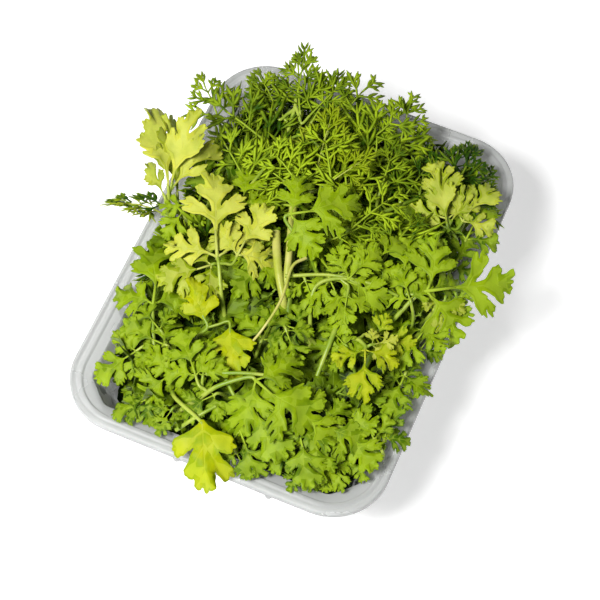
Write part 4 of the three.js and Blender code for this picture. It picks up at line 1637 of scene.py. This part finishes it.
for order, (slot, entries) in enumerate(LOOSE_LEAVES.items()):
    leaves, routes = [], []
    for number, (kind, shade, base_spot, tip_spot, roll) in enumerate(entries):
        base, tip = seen_at(base_spot), seen_at(tip_spot)
        leaves.append(placed_leaf(kind, base, tip, roll, order + number, shade))
        routes.append((sunk_stalk(base, (tip - base) / np.linalg.norm(tip - base)), STALK_RADIUS, 0.8))
    blades = mesh_object("loose_" + slot, joined(leaves), leaf_materials[slot])
    stalks = swept_stems("loose_" + slot + "_stalks", routes, stem_material)
    for piece in (blades, stalks):
        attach(piece, "root")
        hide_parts("packed_bunch")
    print(blades.name, len(entries), "leaves", triangle_count(blades), "triangles")

routes = [(smooth_route([seen_at(spot) for spot in spots]), start, end) for start, end, *spots in LOOSE_STEMS]
for name, chosen, material, slot in (
    ("loose_pale_stems", routes[:3], pale_stem_material, "pale_leaf"),
    ("loose_green_stems", routes[3:], stem_material, "green_leaf"),
):
    piece = swept_stems(name, chosen, material)
    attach(piece, "root")
    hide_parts("packed_bunch")
    print(name, len(chosen), "stems")

# %% [markdown]
# ## The heart of the pile
# Between the scattered leaves the eye would fall through to the tray's floor. In the real pile it meets
# more leaves, in deep shade. A lumpy mass below the scattered layers stands for them, coloured with the
# darkest colour of the packed leaves as painted shade, and through the frosted wall it gives the green
# that the leaves press against it.

# %% The heart
def make_heart():
    cell = 2.5
    depth = 11
    inset = 14
    lump, drift = 2.2, 0.8
    lowest, foot, taper = 4, 2.0, 0.97
    xs = np.arange(-TRAY_LENGTH / 2 + inset, TRAY_LENGTH / 2 - inset + 0.1, cell)
    ys = np.arange(-TRAY_WIDTH / 2 + inset, TRAY_WIDTH / 2 - inset + 0.1, cell)
    draw = np.random.default_rng(4)
    rows, columns = len(xs), len(ys)
    points = []
    for x in xs:
        for y in ys:
            z = mound_height(x, y) - depth + draw.uniform(-lump, lump)
            points.append((x + draw.uniform(-drift, drift), y + draw.uniform(-drift, drift), max(z, lowest)))
    faces = []
    for i in range(rows - 1):
        for j in range(columns - 1):
            a = i * columns + j
            faces.append((a, a + columns, a + columns + 1, a + 1))
    border = [i * columns for i in range(rows)]
    border += [(rows - 1) * columns + j for j in range(1, columns)]
    border += [i * columns + columns - 1 for i in range(rows - 2, -1, -1)]
    border += [j for j in range(columns - 2, 0, -1)]
    first = len(points)
    for index in border:
        x, y, _ = points[index]
        points.append((x * taper, y * taper, foot))
    count = len(border)
    for k in range(count):
        following = (k + 1) % count
        faces.append((border[following], border[k], first + k, first + following))
    faces.append(tuple(first + k for k in reversed(range(count))))
    shape = {"points": np.array(points), "faces": faces}
    # Shade 0 gives the heart the darkest colour of the packed leaves: painted shade.
    for field in (*FIELDS, "shade"):
        shape[field] = np.full(len(points), FAR_FROM_RIB if field == "vein" else 0.0)
    heart = mesh_object("packed_heart", shape, leaf_materials["packed_leaves"])
    heart.data.shade_flat()
    press_into_tray(heart)
    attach(heart, "root")
    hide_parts("packed_bunch")
    print("heart", triangle_count(heart), "triangles")


make_heart()

# %% [markdown]
# ## The tray
# The tray is one thin sheet of frosted plastic, drawn down over a mould. Its corners are flat facets at
# the foot and round at the flange. One formula gives a ring of points at any height, in either of the
# two forms, and a list of rings down the outside and up the inside gives the shell its wall.

# %% The tray's plastic and its shell
def make_tray_material():
    material, tree, shader = new_material("frosted_plastic")
    place = add_node(tree, "ShaderNodeTexCoord").outputs["Object"]
    haze = noise(tree, place, 35.0, 4.0)
    white, grey = (*srgb(218, 219, 217), 1), (*srgb(205, 207, 206), 1)
    tree.links.new(mix_colour(tree, haze, white, grey), shader.inputs["Base Color"])
    grain = noise(tree, place, 1800.0, 2.0)
    tree.links.new(smooth_between(tree, haze, 0.2, 0.8, 0.2, 0.32), shader.inputs["Roughness"])
    bump = add_node(tree, "ShaderNodeBump", {"Height": grain, "Strength": 0.12, "Distance": 0.1 * MM})
    tree.links.new(bump.outputs[0], shader.inputs["Normal"])
    shader.inputs["Transmission Weight"].default_value = 0.45
    shader.inputs["IOR"].default_value = 1.2
    return material


tray_material = make_tray_material()
RIB_RADIUS = 1.5
# Each rib: its side of the tray along x, its side along y, and its place along that wall
RIBS = [(0, side, x) for side in (1, -1) for x in (-42, 0, 42)]
RIBS += [(side, 0, y) for side in (1, -1) for y in (-21, 21)]


def make_tray():
    skirt, ledge, flange = 3.2, 1.6, 5.0
    top = TRAY_HEIGHT
    wall_top = top - ledge - 1.4
    out = RIB_RADIUS - WALL + 0.2

    def low(inset, z):
        return tray_ring(inset, z, 0, FACET_SIZE)

    def high(inset, z):
        return tray_ring(inset, z, 1, FLANGE_RADIUS - inset)

    def rib_end(half_x, half_y, along, inset, z):
        x = half_x * (TRAY_LENGTH / 2 - inset + out) + along * abs(half_y)
        y = half_y * (TRAY_WIDTH / 2 - inset + out) + along * abs(half_x)
        return x, y, z

    rings = [
        low(BASE_INSET + 3, 0), low(BASE_INSET + 2, 0), low(BASE_INSET + 0.8, 0.5), low(BASE_INSET, 1.6),
        low(BASE_INSET - 0.3, 3), low(WALL_TOP_INSET + 0.4, wall_top - 2), low(WALL_TOP_INSET, wall_top),
        high(flange + 0.7 - WALL, top - ledge - WALL), high(flange - WALL, top - 1.3),
        high(WALL + 0.3, top - WALL), high(WALL, top - 1.2), high(WALL, top - skirt + 0.1),
        high(WALL - 0.1, top - skirt), high(0.1, top - skirt), high(0, top - skirt + 0.1), high(0, top - 0.6),
        high(0.2, top - 0.2), high(0.6, top), high(1.9, top), high(2.3, top - 0.35), high(2.9, top - 0.35),
        high(3.3, top), high(flange - 0.4, top), high(flange, top - 0.3),
        high(flange + 0.4, top - ledge + 0.2), high(flange + 0.7, top - ledge),
        low(WALL_TOP_INSET + WALL - 0.3, top - ledge),
        low(WALL_TOP_INSET + WALL, top - ledge - 0.4), low(BASE_INSET + WALL - 0.3, 4),
        low(BASE_INSET + WALL, 1.6 + WALL), low(BASE_INSET + 0.8 + WALL, 0.5 + WALL),
        low(BASE_INSET + 2 + WALL, WALL), low(BASE_INSET + 3.2 + WALL, WALL),
    ]
    columns = len(rings[0])
    points = [p for ring in rings for p in ring]
    faces = []
    for row in range(len(rings) - 1):
        for k in range(columns):
            a, b = row * columns + k, row * columns + (k + 1) % columns
            faces.append((a, b, b + columns, a + columns))
    faces.append(tuple(reversed(range(columns))))
    last = (len(rings) - 1) * columns
    faces.append(tuple(range(last, last + columns)))
    for rib_place in RIBS:
        ends = [rib_end(*rib_place, BASE_INSET, 2.2), rib_end(*rib_place, WALL_TOP_INSET, wall_top - 1)]
        rib = tube(ends, [RIB_RADIUS, RIB_RADIUS], sides=16)
        faces += [tuple(i + len(points) for i in face) for face in rib["faces"]]
        points += [tuple(p) for p in rib["points"]]
    shell = plain_object("tray_shell", points, faces=faces)
    shell.data.materials.append(tray_material)
    shell.data.shade_smooth()
    bm = bmesh.new()
    bm.from_mesh(shell.data)
    bmesh.ops.recalc_face_normals(bm, faces=bm.faces)
    bm.to_mesh(shell.data)
    bm.free()
    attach(shell, "root")
    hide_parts("tray")
    print("tray shell", triangle_count(shell), "triangles")


make_tray()
